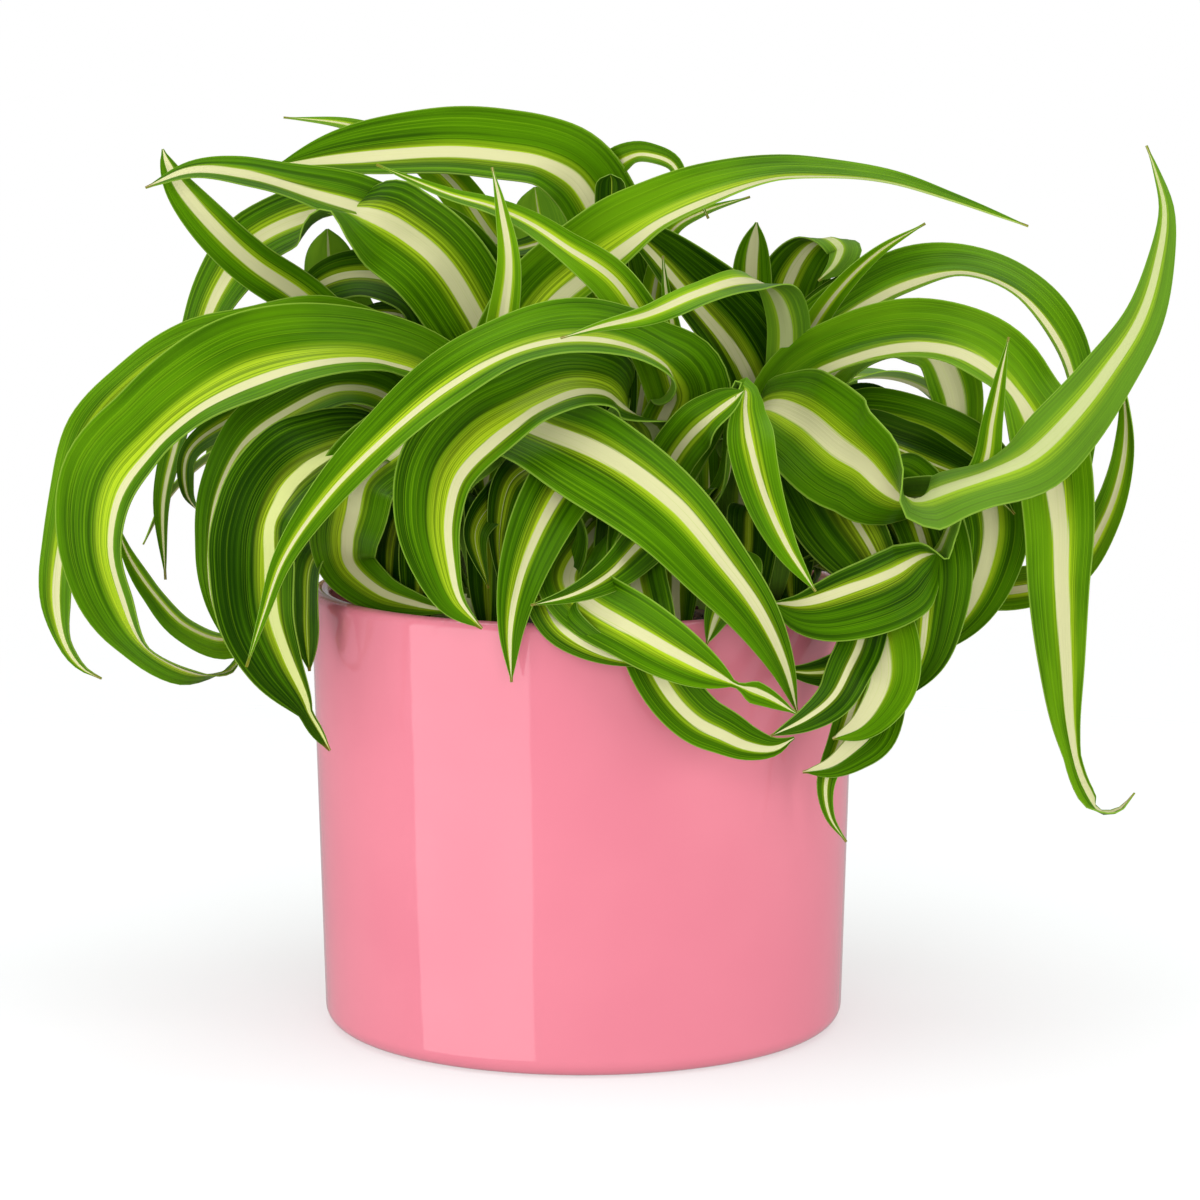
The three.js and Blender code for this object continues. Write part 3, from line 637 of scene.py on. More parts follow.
@dataclass(frozen=True)
class SoilBed:
    """Potting soil that fills the pot, with a crumbly top."""

    top: float = 0.101
    mound: float = 0.0025
    bottom: float = 0.0073
    top_radius: float = 0.06437
    low_radius: float = 0.0619
    fillet: float = 0.008
    fillet_steps: int = 5
    rings: int = 26
    spokes: int = 120
    rough_scale: float = 90.0
    rough_octaves: tuple[float, float, int] = (0.9, 2.1, 4)
    rough_height: float = 0.0011
    rim_calm: int = 6
    crumbs: int = 420
    crumb_radii: Span = (0.0005, 0.0019)
    crumb_margin: float = 0.003
    crumb_wide: Span = (0.8, 1.3)
    crumb_flat: Span = (0.6, 0.9)
    crumb_rise: float = 0.2
    lump_depth: float = 0.35
    lump_scale: float = 1.7
    seed: int = 11

    def height(self, x: float, y: float) -> float:
        """Gives the height of the soil's surface over a point."""
        reach = min(math.hypot(x, y) / self.top_radius, 1.0)
        spot = Vector((x * self.rough_scale, y * self.rough_scale, 0.3))
        rough = noise.fractal(spot, *self.rough_octaves) * (1 - reach**self.rim_calm)
        return self.top + self.mound * (1 - reach**2) + self.rough_height * rough

    def build(self) -> bpy.types.Object:
        """Models the bed from a cone whose top is inset ring by ring and broken up."""
        bed = cone(
            "soil_bed", self.spokes, (self.low_radius, self.top_radius), (self.bottom, self.top)
        )
        low = self.bottom + NEAR
        round_edges(bed, lambda a, b: max(a.z, b.z) < low, self.fillet, self.fillet_steps)
        pick_end(bed, 1)
        for _ in range(self.rings - 1):
            bpy.ops.mesh.inset(thickness=self.top_radius / self.rings, depth=0)
        bpy.ops.mesh.poke()
        bpy.ops.object.mode_set(mode="OBJECT")
        for point in bed.data.vertices:
            if point.co.z > self.top - NEAR:
                point.co.z = self.height(point.co.x, point.co.y)
        activate(bed, *self._crumbs())
        bpy.ops.object.join()
        bpy.ops.object.shade_smooth()
        bed.data.materials.append(SOIL.make())
        return bed

    def _crumbs(self) -> list[bpy.types.Object]:
        """Scatters copies of one lumpy crumb over the surface, half sunk."""
        deselect()
        bpy.ops.mesh.primitive_ico_sphere_add(subdivisions=2, radius=1.0)
        lump = named("crumb")
        for point in lump.data.vertices:
            point.co *= 1 + self.lump_depth * noise.noise(point.co * self.lump_scale)
        draw = random.Random(self.seed)
        heap = []
        for _ in range(self.crumbs):
            radius = draw.uniform(*self.crumb_radii)
            reach = (self.top_radius - self.crumb_margin) * math.sqrt(draw.random())
            angle = draw.uniform(0, math.tau)
            x, y = reach * math.cos(angle), reach * math.sin(angle)
            turn = draw.uniform(0, math.tau)
            wide, flat = draw.uniform(*self.crumb_wide), draw.uniform(*self.crumb_flat)
            crumb = twin(lump, lump.name)
            for point in crumb.data.vertices:
                px, py, pz = point.co
                point.co = (
                    x + radius * wide * (px * math.cos(turn) - py * math.sin(turn)),
                    y + radius * (px * math.sin(turn) + py * math.cos(turn)),
                    self.height(x, y) + radius * flat * (pz + self.crumb_rise),
                )
            heap.append(crumb)
        bpy.data.objects.remove(lump)
        return heap


class Look(Enum):
    """The ways that a leaf's upper side can look: front, back, left, right, up and down."""

    F = (0, -1, 0)
    B = (0, 1, 0)
    L = (-1, 0, 0)
    R = (1, 0, 0)
    U = (0, 0, 1)
    D = (0, 0, -1)


@dataclass(frozen=True)
class CrownSize:
    """Sizes of the short stems and of the way that leaves leave them, in millimetres."""

    soil_top: float = 101.0
    radius: float = 5.0
    buried: float = 11.0
    tip_radius: float = 3.4
    height: float = 25.0
    sides: int = 32
    fillet: float = 1.2
    fillet_steps: int = 4
    root_reach: float = 2.4
    root_height: float = 18.0
    root_step: float = 1.0
    root_rise: float = 10.0
    sheath_step: float = 0.9
    arch_reach: float = 2.0
    arch_rise: float = 6.0

    def root_z(self, index: int) -> float:
        """Gives the height at which a leaf leaves its stem."""
        return self.soil_top + self.root_height - self.root_step * index


CROWN = CrownSize()
LEAF_BROAD = 0.38
LEAF_CHANNEL = 0.22
LEAF_TAPER = 2.3
BLUNT_TAPER = 5.0
BLUNT_REACH = 0.96


@dataclass(frozen=True)
class Stripe:
    """Where the cream stripe runs across a leaf, as shares of its half width."""

    course: Triple = (0.0, 0.0, 0.0)
    cream: float = 0.18
    fringe: float = 0.5
    lean: float = 0.0


SHADED = Stripe((0.1, 0.15, 0.1), 0.027, 0.25)


@dataclass(frozen=True)
class Tail:
    """The thin end of a leaf whose tip has dried and shrunk."""

    start: float = 1.0
    share: float = 0.0
    pinch: float = 0.4
    swell: float = 0.3

    def width(self, reach: np.ndarray, taper: float, full: float) -> np.ndarray:
        """Gives the half width beyond the leaf's widest place, as a share of it."""
        ahead = np.clip((reach - full) / (self.start - full), 0, 1)
        behind = np.clip((reach - self.start) / max(1 - self.start, 1e-6), 0, 1)
        lobe = (self.pinch + (1 - self.pinch) * smooth(behind, 0, self.swell)) * (1 - behind**2)
        return np.maximum(1 - ahead**taper, self.share * lobe * (reach > full))


@dataclass(frozen=True)
class Leaf:
    """A leaf that the front shows, by the stations of its midline in millimetres.

    A station is a place and the letters of the ways that the upper side looks there, added up.
    With no letters it looks to the front.
    """

    name: str
    width: float
    # The leaf's own depth of green, set low for leaves that sit in shade inside the plant, so that
    # its finish paints them dark as painted shade and paints lit patches on high ones.
    tone: float
    stripe: Stripe
    stations: tuple[tuple[Any, ...], ...]
    taper: float = LEAF_TAPER
    channel: float = LEAF_CHANNEL
    tail: Tail = Tail()
    broad: float = LEAF_BROAD

    def knots(self, crown: Rosette, index: int) -> tuple[np.ndarray, np.ndarray]:
        """Gives the midline's points and the ways that the upper side looks there."""
        places = np.array([station[:3] for station in self.stations], float)
        letters = ["".join(station[3:]) or Look.F.name for station in self.stations]
        looks = [np.sum([Look[letter].value for letter in word], axis=0) for word in letters]
        return places, unit(np.array(looks, float))


@dataclass(frozen=True)
class Arch:
    """A leaf behind the plant that rises steeply, arches over and hangs."""

    width: float
    azimuth: float
    length: float
    launch: float
    landing: float
    swing: float
    channel: float = LEAF_CHANNEL
    taper: float = LEAF_TAPER
    steps: int = 8
    droop: float = 0.85
    tail: Tail = Tail()
    broad: float = LEAF_BROAD
    name: str = "back_arch"

    @property
    def stripe(self) -> Stripe:
        """Gives each arching leaf its own stripe, shifted by its heading."""
        shift, cream, cream_more, fringe = 0.25 * math.sin(self.azimuth), 0.17, 0.05, 0.46
        return Stripe((shift / 2, shift, 0.0), cream + cream_more * math.cos(self.length), fringe)

    @property
    def tone(self) -> float:
        """Gives each arching leaf its own depth of green, which also sets how much painted shade
        and painted light the leaf finish lays on it.
        """
        middle, more, spread = 0.45, 0.12, 1.7
        return middle + more * math.sin(self.azimuth * spread)

    def knots(self, crown: Rosette, index: int) -> tuple[np.ndarray, np.ndarray]:
        """Gives the midline's points and the ways that the upper side looks there."""
        reach = CROWN.radius + CROWN.arch_reach + CROWN.sheath_step * index
        z = CROWN.root_z(index) + CROWN.root_rise + CROWN.arch_rise
        stride = self.length / (self.steps - 1)
        places, looks = [], []
        for i in range(self.steps):
            share = i / (self.steps - 1)
            heading = math.radians(self.azimuth + self.swing * share * share)
            pitch = math.radians(self.launch + (self.landing - self.launch) * share**self.droop)
            side = np.array([math.cos(heading), math.sin(heading), 0.0])
            places.append(np.array([crown.x, crown.y, z]) + side * reach)
            looks.append(UP * math.cos(pitch) - side * math.sin(pitch))
            reach += stride * math.cos(pitch)
            z += stride * math.sin(pitch)
        return np.array(places), np.array(looks)


@dataclass(frozen=True)
class Blade:
    """Bends a flat strip along a leaf's midline and gives it its section."""

    rows: int = 96
    lanes: int = 14
    thickness: float = 0.62
    edge_share: float = 0.55
    root_share: float = 0.34
    least_half: float = 0.3
    span: int = 16
    calm: int = 12
    lean_in: float = 0.2
    hollow_power: float = 1.6
    hollow_sink: float = 0.4
    rib_depth: float = 0.05
    rib_width: float = 0.16
    wave_height: float = 0.035
    wave_pitch: float = 0.17
    wave_turn: float = 1.3
    wave_seed: float = 2.1
    wave_reach: Span = (0.2, 0.5)
    seed_steps: Triple = (5.37, 0.71, 0.39)
    seed_span: float = 50.0
    course_reach: Triple = (0.3, 0.65, 0.95)
    stripe_widens: Span = (0.75, 1.0)
    tip_thins: Span = (0.8, 1.0)
    tip_thinner: float = 0.7

    def strip(self) -> bpy.types.Object:
        """Models the flat strip that every blade is bent from."""
        deselect()
        bpy.ops.mesh.primitive_grid_add(x_subdivisions=self.rows, y_subdivisions=self.lanes, size=2)
        strip = named("blade_strip")
        strip.vertex_groups.new(name="full")
        return strip

    def _curve(self, places: np.ndarray, looks: np.ndarray) -> tuple[np.ndarray, np.ndarray]:
        """Draws a centripetal curve through the knots, with the looks blended along it."""
        ends = np.vstack([2 * places[0] - places[1], places, 2 * places[-1] - places[-2]])
        share = np.linspace(0, 1, self.span, endpoint=False)[:, None]
        line, turned = [], []
        for i in range(len(places) - 1):
            p0, p1, p2, p3 = ends[i : i + 4]
            pairs = ((p0, p1), (p1, p2), (p2, p3))
            d0, d1, d2 = (math.sqrt(np.linalg.norm(b - a)) for a, b in pairs)
            t1 = ((p1 - p0) / d0 - (p2 - p0) / (d0 + d1) + (p2 - p1) / d1) * d1
            t2 = ((p2 - p1) / d1 - (p3 - p1) / (d1 + d2) + (p3 - p2) / d2) * d1
            square = (3 * (p2 - p1) - 2 * t1 - t2) * share**2
            line.append(p1 + t1 * share + square + (2 * (p1 - p2) + t1 + t2) * share**3)
            turned.append(looks[i] * (1 - share) + looks[i + 1] * share)
        return np.vstack([*line, places[-1:]]), np.vstack([*turned, looks[-1:]])

    def _frame(self, crown: Rosette, leaf: Leaf | Arch, index: int) -> tuple[np.ndarray, ...]:
        """Gives the midline's points, upper normals, cross directions, and distances."""
        places, looks = leaf.knots(crown, index)
        axis = np.array([crown.x, crown.y, 0.0])
        outward = unit((places[0] - axis) * [1, 1, 0])
        root_z = CROWN.root_z(index)
        root = axis + outward * CROWN.root_reach + UP * root_z
        sheath = axis + outward * (CROWN.radius + CROWN.sheath_step * index)
        sheath = sheath + UP * (root_z + CROWN.root_rise)
        inward = unit(-outward + self.lean_in * UP)
        line, turned = self._curve(
            np.vstack([root, sheath, places]), np.vstack([inward, inward, looks])
        )
        for _ in range(self.calm):
            turned[1:-1] = (turned[:-2] + 2 * turned[1:-1] + turned[2:]) / 4
        steps = np.linalg.norm(np.diff(line, axis=0), axis=1)
        distance = np.concatenate([[0.0], np.cumsum(steps)])
        wanted = np.linspace(0, distance[-1], self.rows + 1)
        centre, normal = (
            np.stack([np.interp(wanted, distance, course[:, k]) for k in range(3)], axis=1)
            for course in (line, turned)
        )
        tangent = unit(np.gradient(centre, axis=0))
        normal = unit(normal - np.sum(normal * tangent, axis=1, keepdims=True) * tangent)
        return centre, normal, np.cross(tangent, normal), wanted

    def bend(
        self, strip: bpy.types.Object, crown: Rosette, leaf: Leaf | Arch, index: int
    ) -> bpy.types.Object:
        """Bends a copy of the flat strip into one leaf.

        Args:
            strip: The flat strip.
            crown: The rosette that the leaf grows from.
            leaf: The leaf.
            index: Its place in the rosette, from the inside out.

        Returns:
            The leaf as an open sheet.
        """
        piece = twin(strip, leaf.name)
        flat = np.zeros(len(piece.data.vertices) * 3, np.float32)
        piece.data.vertices.foreach_get("co", flat)
        flat = flat.reshape(-1, 3)
        row = np.rint((flat[:, 0] + 1) / 2 * self.rows).astype(int)
        side = -flat[:, 1].astype(float)
        centre, normal, cross, distance = self._frame(crown, leaf, index)
        reach = distance / distance[-1]
        parts = zip(self.seed_steps, (index, crown.x, crown.y))
        seed = sum(step * part for step, part in parts) % self.seed_span
        rise = self.root_share + (1 - self.root_share) * smooth(reach, 0, leaf.broad)
        fall = leaf.tail.width(reach, leaf.taper, leaf.broad)
        half = np.maximum(leaf.width / 2 * rise * fall, self.least_half)[row]
        lift = leaf.channel * (np.abs(side) ** self.hollow_power - self.hollow_sink)
        lift -= self.rib_depth * np.exp(-((side / self.rib_width) ** 2))
        phase = seed * self.wave_seed + self.wave_turn * np.sign(side)
        wave = np.sin(distance[row] * self.wave_pitch + phase) * side**2
        lift += self.wave_height * wave * smooth(reach[row], *self.wave_reach)
        points = centre[row] + cross[row] * (side * half)[:, None]
        points += normal[row] * (lift * half)[:, None]
        piece.data.vertices.foreach_set("co", (points * MM).astype(np.float32).ravel())
        stripe = leaf.stripe
        middle = np.interp(reach, self.course_reach, stripe.course)[row]
        band_middle = middle + stripe.lean * (stripe.fringe - stripe.cream)
        widen = 1 + smooth(reach[row], *self.stripe_widens) / 2
        bluntness = BLUNT_REACH if leaf.taper >= BLUNT_TAPER else 1.0
        for name, values in (
            ("across", side),
            ("lane", side * leaf.width / 2),
            ("along", distance[row]),
            ("reach", reach[row] * bluntness),
            ("stripe", (side - middle) / (stripe.cream * widen)),
            ("fringe", (side - band_middle) / stripe.fringe),
            # The leaf's tone, which its finish turns into painted shade and painted light.
            ("tone", np.full(len(row), leaf.tone)),
            ("seed", np.full(len(row), seed)),
        ):
            stored = piece.data.attributes.new(name, "FLOAT", "POINT")
            stored.data.foreach_set("value", values.astype(np.float32))
        full = piece.vertex_groups["full"]
        weight = (1 - side**4) * (1 - smooth(reach[row], *self.tip_thins) * self.tip_thinner)
        for k, share in enumerate(weight):
            full.add([k], float(share), "REPLACE")
        return piece


@dataclass(frozen=True)
class Rosette:
    """One crown with all the leaves that grow from it, inner leaves first."""

    name: str
    x: float
    y: float
    leaves: tuple[Leaf, ...]
    arches: tuple[Arch, ...] = ()
    sharpest: float = 50.0

    @property
    def node(self) -> str:
        """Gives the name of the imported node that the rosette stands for."""
        return f"{self.name}_rosette"

    def build(self, blade: Blade, strip: bpy.types.Object, finishes: list) -> bpy.types.Object:
        """Models every leaf of the rosette and its crown as one piece.

        Args:
            blade: The way that leaves are bent.
            strip: The flat strip that they are bent from.
            finishes: The materials of the upper side, the underside and the crown.

        Returns:
            The rosette.
        """
        grown = enumerate((*self.leaves, *self.arches))
        activate(*(blade.bend(strip, self, leaf, index) for index, leaf in grown))
        bpy.ops.object.join()
        rosette = named(f"{self.name}_leaves")
        body = rosette.modifiers.new("body", "SOLIDIFY")
        body.thickness = blade.thickness * MM
        body.offset = 0.0
        body.vertex_group = "full"
        body.thickness_vertex_group = blade.edge_share
        body.material_offset = 1
        body.material_offset_rim = 1
        crown = self._crown()
        for piece in (rosette, crown):
            for finish in finishes:
                piece.data.materials.append(finish)
        for face in crown.data.polygons:
            face.material_index = len(finishes) - 1
        activate(rosette)
        bpy.ops.object.modifier_apply(modifier=body.name)
        activate(rosette, crown)
        bpy.ops.object.join()
        bpy.ops.object.shade_smooth_by_angle(angle=math.radians(self.sharpest))
        return rosette

    def _crown(self) -> bpy.types.Object:
        """Models the short stem, a tapered cylinder with a rounded shoulder."""
        radii = (CROWN.radius * MM, CROWN.tip_radius * MM)
        heights = ((CROWN.soil_top - CROWN.buried) * MM, (CROWN.soil_top + CROWN.height) * MM)
        crown = cone("crown", CROWN.sides, radii, heights, self.x * MM, self.y * MM)
        fillet = CROWN.fillet * MM
        round_edges(crown, lambda a, b: abs(a.z - b.z) < NEAR, fillet, CROWN.fillet_steps)
        return crown


# The number after a leaf's width is its tone: low values paint leaves that sit in shade dark as
# painted shade, such as the fill leaves at 0.04.
LEFT_FRONT = Rosette("left_front", -28, -26, (
    Leaf("centre_upright", 9, 0.6, Stripe((0.1, 0, 0), 0.306, 0.6), (
        (-24, -30, 156), (-20, -38, 182), (-18, -42, 199), (-20, -43, 213), (-22, -43, 222),
    )),
    Leaf("front_broad", 24, 0.42, Stripe((-0.1, -0.28, -0.25), 0.171, 0.4), (
        (-32, -26, 138, "R"), (-30, -36, 152, "RU"), (-21, -45, 160, "UF"), (-8, -53, 157, "FU"),
        (7, -62, 150), (21, -70, 140), (32, -74, 128), (41, -76, 117), (48, -74, 104),
        (52, -72, 92),
    )),
    Leaf("left_front_hang", 22, 0.1, Stripe((-0.1, -0.4, -0.6), 0.135, 0.36, 0.3), (
        (-42, -22, 145, "RU"), (-52, -32, 154, "UF"), (-63, -45, 154, "UF"), (-73, -55, 148),
        (-79, -60, 138, "FFL"), (-80, -62, 126), (-79, -62, 113), (-75, -60, 102), (-69, -58, 92),
        (-66, -56, 86), (-62, -56, 80),
    ), taper=4.5, tail=Tail(0.95, 0.16, 1.0)),
    Leaf("left_rim_curl", 20.5, 0.42, Stripe((0, -0.1, 0), 0.18, 0.5, 0.3), (
        (-39, -34, 156, "UF"), (-48, -41, 152), (-55, -46, 146), (-57, -48, 138), (-59, -42, 130),
        (-58, -33, 122), (-51, -32, 116), (-41, -40, 114), (-31, -47, 113),
    ), taper=2),
    Leaf("left_rim_dark", 14, 0.06, Stripe((0, 0, 0), 0.027, 0.3), (
        (-46, -20, 136, "U"), (-60, -26, 132, "UL"), (-68, -31, 124, "FL"), (-69, -36, 112, "FL"),
        (-68, -39, 97),
    ), taper=4),
    Leaf("left_fill_a", 13, 0.04, SHADED, (
        (-34, -32, 139, "B"), (-37, -36, 138, "U"), (-39, -36, 130), (-40, -33, 119),
        (-41, -31, 106),
    ), taper=5),
    Leaf("left_fill_b", 12, 0.04, SHADED, (
        (-26, -33, 139, "B"), (-24, -38, 139, "U"), (-23, -41, 129), (-23, -41, 118),
        (-23, -40, 104),
    ), taper=5),
    Leaf("left_fill_c", 11, 0.04, SHADED, (
        (-42, -28, 139, "B"), (-44, -33, 138, "U"), (-47, -32, 129), (-48, -29, 120),
        (-48, -27, 110),
    ), taper=5),
))
LEFT = Rosette("left", -36, 2, (
    Leaf("top_right_long", 18, 0.55, Stripe((0.5, 0.72, 1.25), 0.18, 0.55, -0.5), (
        (-33, -8, 136), (-27, -12, 160), (-20, -16, 176), (-11, -20, 190), (2, -22, 201),
        (16, -22, 210, "FU"), (30, -22, 216, "UF"), (47, -20, 220, "UUF"), (62, -18, 220, "UUF"),
        (77, -16, 218, "UUF"), (93, -14, 213, "UUF"), (112, -12, 206, "UF"),
    ), taper=1.6, channel=0.3),
    Leaf("left_diagonal", 12, 0.45, Stripe((-0.2, 0, 0.1), 0.27, 0.5, 0.2), (
        (-40, 10, 155), (-57, 10, 172), (-71, 6, 186), (-84, -3, 196), (-93, -8, 205),
        (-102, -9, 216), (-105, -8, 222), (-106, -6, 225, "UF"),
    ), taper=7),
    Leaf("left_back_curl", 12, 0.3, Stripe((0.2, 0.2, 0.2), 0.108, 0.4), (
        (-47, 4, 153, "U"), (-63, 6, 160, "UF"), (-78, 6, 159, "UF"), (-92, 4, 154, "FL"),
        (-101, 2, 147, "FL"), (-102, 4, 137, "FD"), (-99, 10, 130, "DB"),
    )),
    Leaf("left_outer_arch", 19, 0.5, Stripe((0.1, -0.1, 0.1), 0.18, 0.5, 0.3), (
        (-37, 6, 150, "RF"), (-47, 2, 171, "UF"), (-64, -5, 180, "UF"), (-84, -14, 178, "UF"),
        (-101, -14, 174, "UFL"), (-115, -14, 165, "UFL"), (-124, -16, 154, "FL"),
        (-129, -18, 139, "FL"), (-132, -20, 125, "FL"), (-133, -20, 111, "FFL"),
        (-131, -20, 101, "FL"), (-127, -20, 95, "FD"), (-122, -20, 92, "DF"),
    ), taper=3.4),
    Leaf("left_big_arch", 24, 0.5, Stripe((-0.5, -0.6, -0.5), 0.108, 0.44, 0.8), (
        (-33, -4, 154, "RF"), (-37, -10, 169, "UF"), (-50, -20, 176, "UF"), (-65, -32, 178, "UF"),
        (-82, -38, 175, "UFF"), (-96, -42, 168, "UFFL"), (-108, -44, 158, "FL"),
        (-118, -44, 146, "FFL"), (-121, -42, 130, "FFL"), (-118, -38, 115, "FFL"),
        (-111, -34, 102, "FLD"), (-99, -28, 94, "DF"), (-90, -20, 94, "D"), (-87, -14, 98, "DB"),
    ), taper=2.8, channel=0.3),
    Leaf("left_mid_arch", 16, 0.42, Stripe((-0.1, -0.2, 0), 0.162, 0.4, -0.3), (
        (-41, -12, 152, "U"), (-49, -15, 164, "UF"), (-61, -20, 167, "UF"), (-74, -26, 162, "UF"),
        (-85, -30, 154, "FL"), (-91, -34, 142, "FL"), (-93, -36, 128, "FL"), (-92, -36, 114),
        (-89, -34, 103),
    )),
    Leaf("left_low_back", 14, 0.55, Stripe((0.5, 0.5, 0), 0.144, 0.42), (
        (-47, -2, 143, "U"), (-64, -7, 144, "U"), (-77, -15, 127, "L"), (-82, -19, 109, "LD"),
        (-90, -20, 101, "DF"), (-101, -20, 105, "DF"), (-109, -20, 114, "FD"), (-115, -20, 124),
        (-118, -20, 133),
    )),
))
CENTRE = Rosette("centre", 12, -24, (
    Leaf("centre_tip_left", 13, 0.55, Stripe((0.2, 0.1, 0), 0.144, 0.5), (
        (24, -22, 148), (21, -28, 169), (15, -34, 182), (7, -37, 194), (-4, -37, 202, "FU"),
        (-13, -36, 208, "FU"), (-22, -35, 212, "FU"), (-33, -32, 215, "FU"), (-51, -27, 222),
    ), taper=1.3, channel=0.3),
    Leaf("centre_inner_tip", 6, 0.6, Stripe((0, 0, 0), 0.27, 0.6), (
        (22, -14, 162), (23, -16, 178), (21, -18, 189), (20, -20, 199),
    )),
    Leaf("front_sweep_left", 20, 0.48, Stripe((-0.5, -0.28, 0), 0.117, 0.4, 0.3), (
        (22, -26, 151), (27, -34, 165), (21, -45, 176, "FU"), (8, -56, 183, "UF"),
        (-5, -62, 184, "UF"), (-20, -68, 180, "UF"), (-34, -74, 172, "UFF"), (-48, -80, 160, "FFU"),
        (-61, -82, 146), (-71, -82, 131), (-76, -82, 117), (-80, -82, 105),
    ), taper=1.7, broad=0.2),
    Leaf("centre_fold", 12.5, 0.5, Stripe((0.15, 0.05, -0.25), 0.144, 0.45), (
        (34, -40, 143, "L"), (36, -48, 157, "L"), (37, -52, 165, "L"), (38, -53, 169, "UL"),
        (40, -54, 169, "UR"), (40, -56, 164, "RF"), (41, -60, 155), (44, -66, 143), (49, -72, 132),
        (56, -74, 122),
    ), taper=3.6),
    Leaf("front_curl", 22, 0.38, Stripe((-0.35, -0.65, -0.6), 0.117, 0.5, 0.6), (
        (14, -34, 144, "B"), (14, -42, 159, "U"), (8, -47, 169, "UF"), (-2, -54, 172, "UF"),
        (-15, -61, 168, "FU"), (-27, -65, 161), (-35, -67, 151), (-37, -69, 139), (-35, -71, 128),
        (-31, -73, 119), (-24, -74, 113),
    ), taper=4.8, broad=0.2),
    Leaf("rim_small_right", 11.5, 0.35, Stripe(), (
        (38, -50, 126, "U"), (37, -57, 120), (33, -66, 116), (30, -72, 109),
    ), taper=4),
    Leaf("rim_inner", 12, 0.3, Stripe(), (
        (20, -34, 137, "B"), (23, -42, 132), (23, -47, 122), (23, -49, 114), (24, -50, 105),
    ), taper=6),
    Leaf("inner_dark_mid", 12, 0.1, Stripe((0, 0.1, 0.1), 0.018, 0.5), (
        (-2, -30, 131, "B"), (-9, -36, 148, "U"), (-17, -44, 145), (-20, -48, 134), (-20, -50, 119),
    )),
    Leaf("inner_dark_left", 12, 0.12, Stripe((0, 0.1, 0.1), 0.018, 0.5), (
        (-9, -30, 134, "B"), (-13, -31, 142, "U"), (-21, -43, 140), (-26, -51, 133),
        (-23, -54, 120),
    )),
    Leaf("front_point_down", 18, 0.4, Stripe((-0.15, -0.05, 0.1), 0.144, 0.42, 0.3), (
        (8, -32, 131, "B"), (7, -40, 147, "BU"), (1, -48, 152, "U"), (-6, -56, 144),
        (-11, -62, 135), (-15, -69, 124), (-17, -73, 113), (-17, -74, 100),
    )),
    Leaf("front_low_point", 13, 0.3, Stripe((0.15, 0.1, -0.1), 0.144, 0.36), (
        (27, -37, 142, "U"), (21, -48, 137, "UF"), (14, -60, 131), (6, -76, 126), (-3, -87, 123),
        (-12, -90, 121),
    )),
    Leaf("rim_hang_centre", 15, 0.3, Stripe((0.1, 0.1, 0.3), 0.144, 0.44, 0.2), (
        (2, -36, 135, "B"), (-6, -50, 126, "U"), (-8, -62, 120, "UF"), (-5, -70, 114),
        (1, -75, 110), (9, -78, 107), (19, -79, 105),
    )),
    Leaf("rim_hang_right", 17, 0.45, Stripe((0, 0.1, -0.2), 0.18, 0.46, 0.2), (
        (7, -36, 135, "U"), (0, -48, 129, "U"), (-3, -60, 123, "UF"), (2, -71, 119), (11, -80, 115),
        (20, -84, 110), (29, -86, 105), (37, -85, 101), (44, -84, 98), (51, -83, 94),
    ), taper=6, tail=Tail(0.885, 0.36, 0.25)),
    Leaf("centre_fill_a", 13, 0.04, SHADED, (
        (13, -32, 138, "B"), (11, -38, 138, "U"), (9, -46, 130), (8, -50, 120), (8, -51, 105),
    ), taper=5),
    Leaf("centre_fold_in", 12, 0.45, Stripe((0.1, 0.1, 0.1), 0.144, 0.45), (
        (18, -42, 140), (21, -48, 150), (26, -54, 158), (32, -59, 164, "FU"), (39, -61, 169, "FU"),
    ), taper=12),
    Leaf("rim_loop_left", 14.2, 0.3, Stripe((0.1, 0.1, 0.2), 0.18, 0.45), (
        (14, -38, 135, "U"), (13, -56, 126, "UF"), (15, -71, 117), (17, -76, 107), (22, -78, 98),
        (28, -79, 92), (34, -80, 89), (40, -79, 86), (46, -78, 85), (51, -77, 87),
    ), taper=6),
))
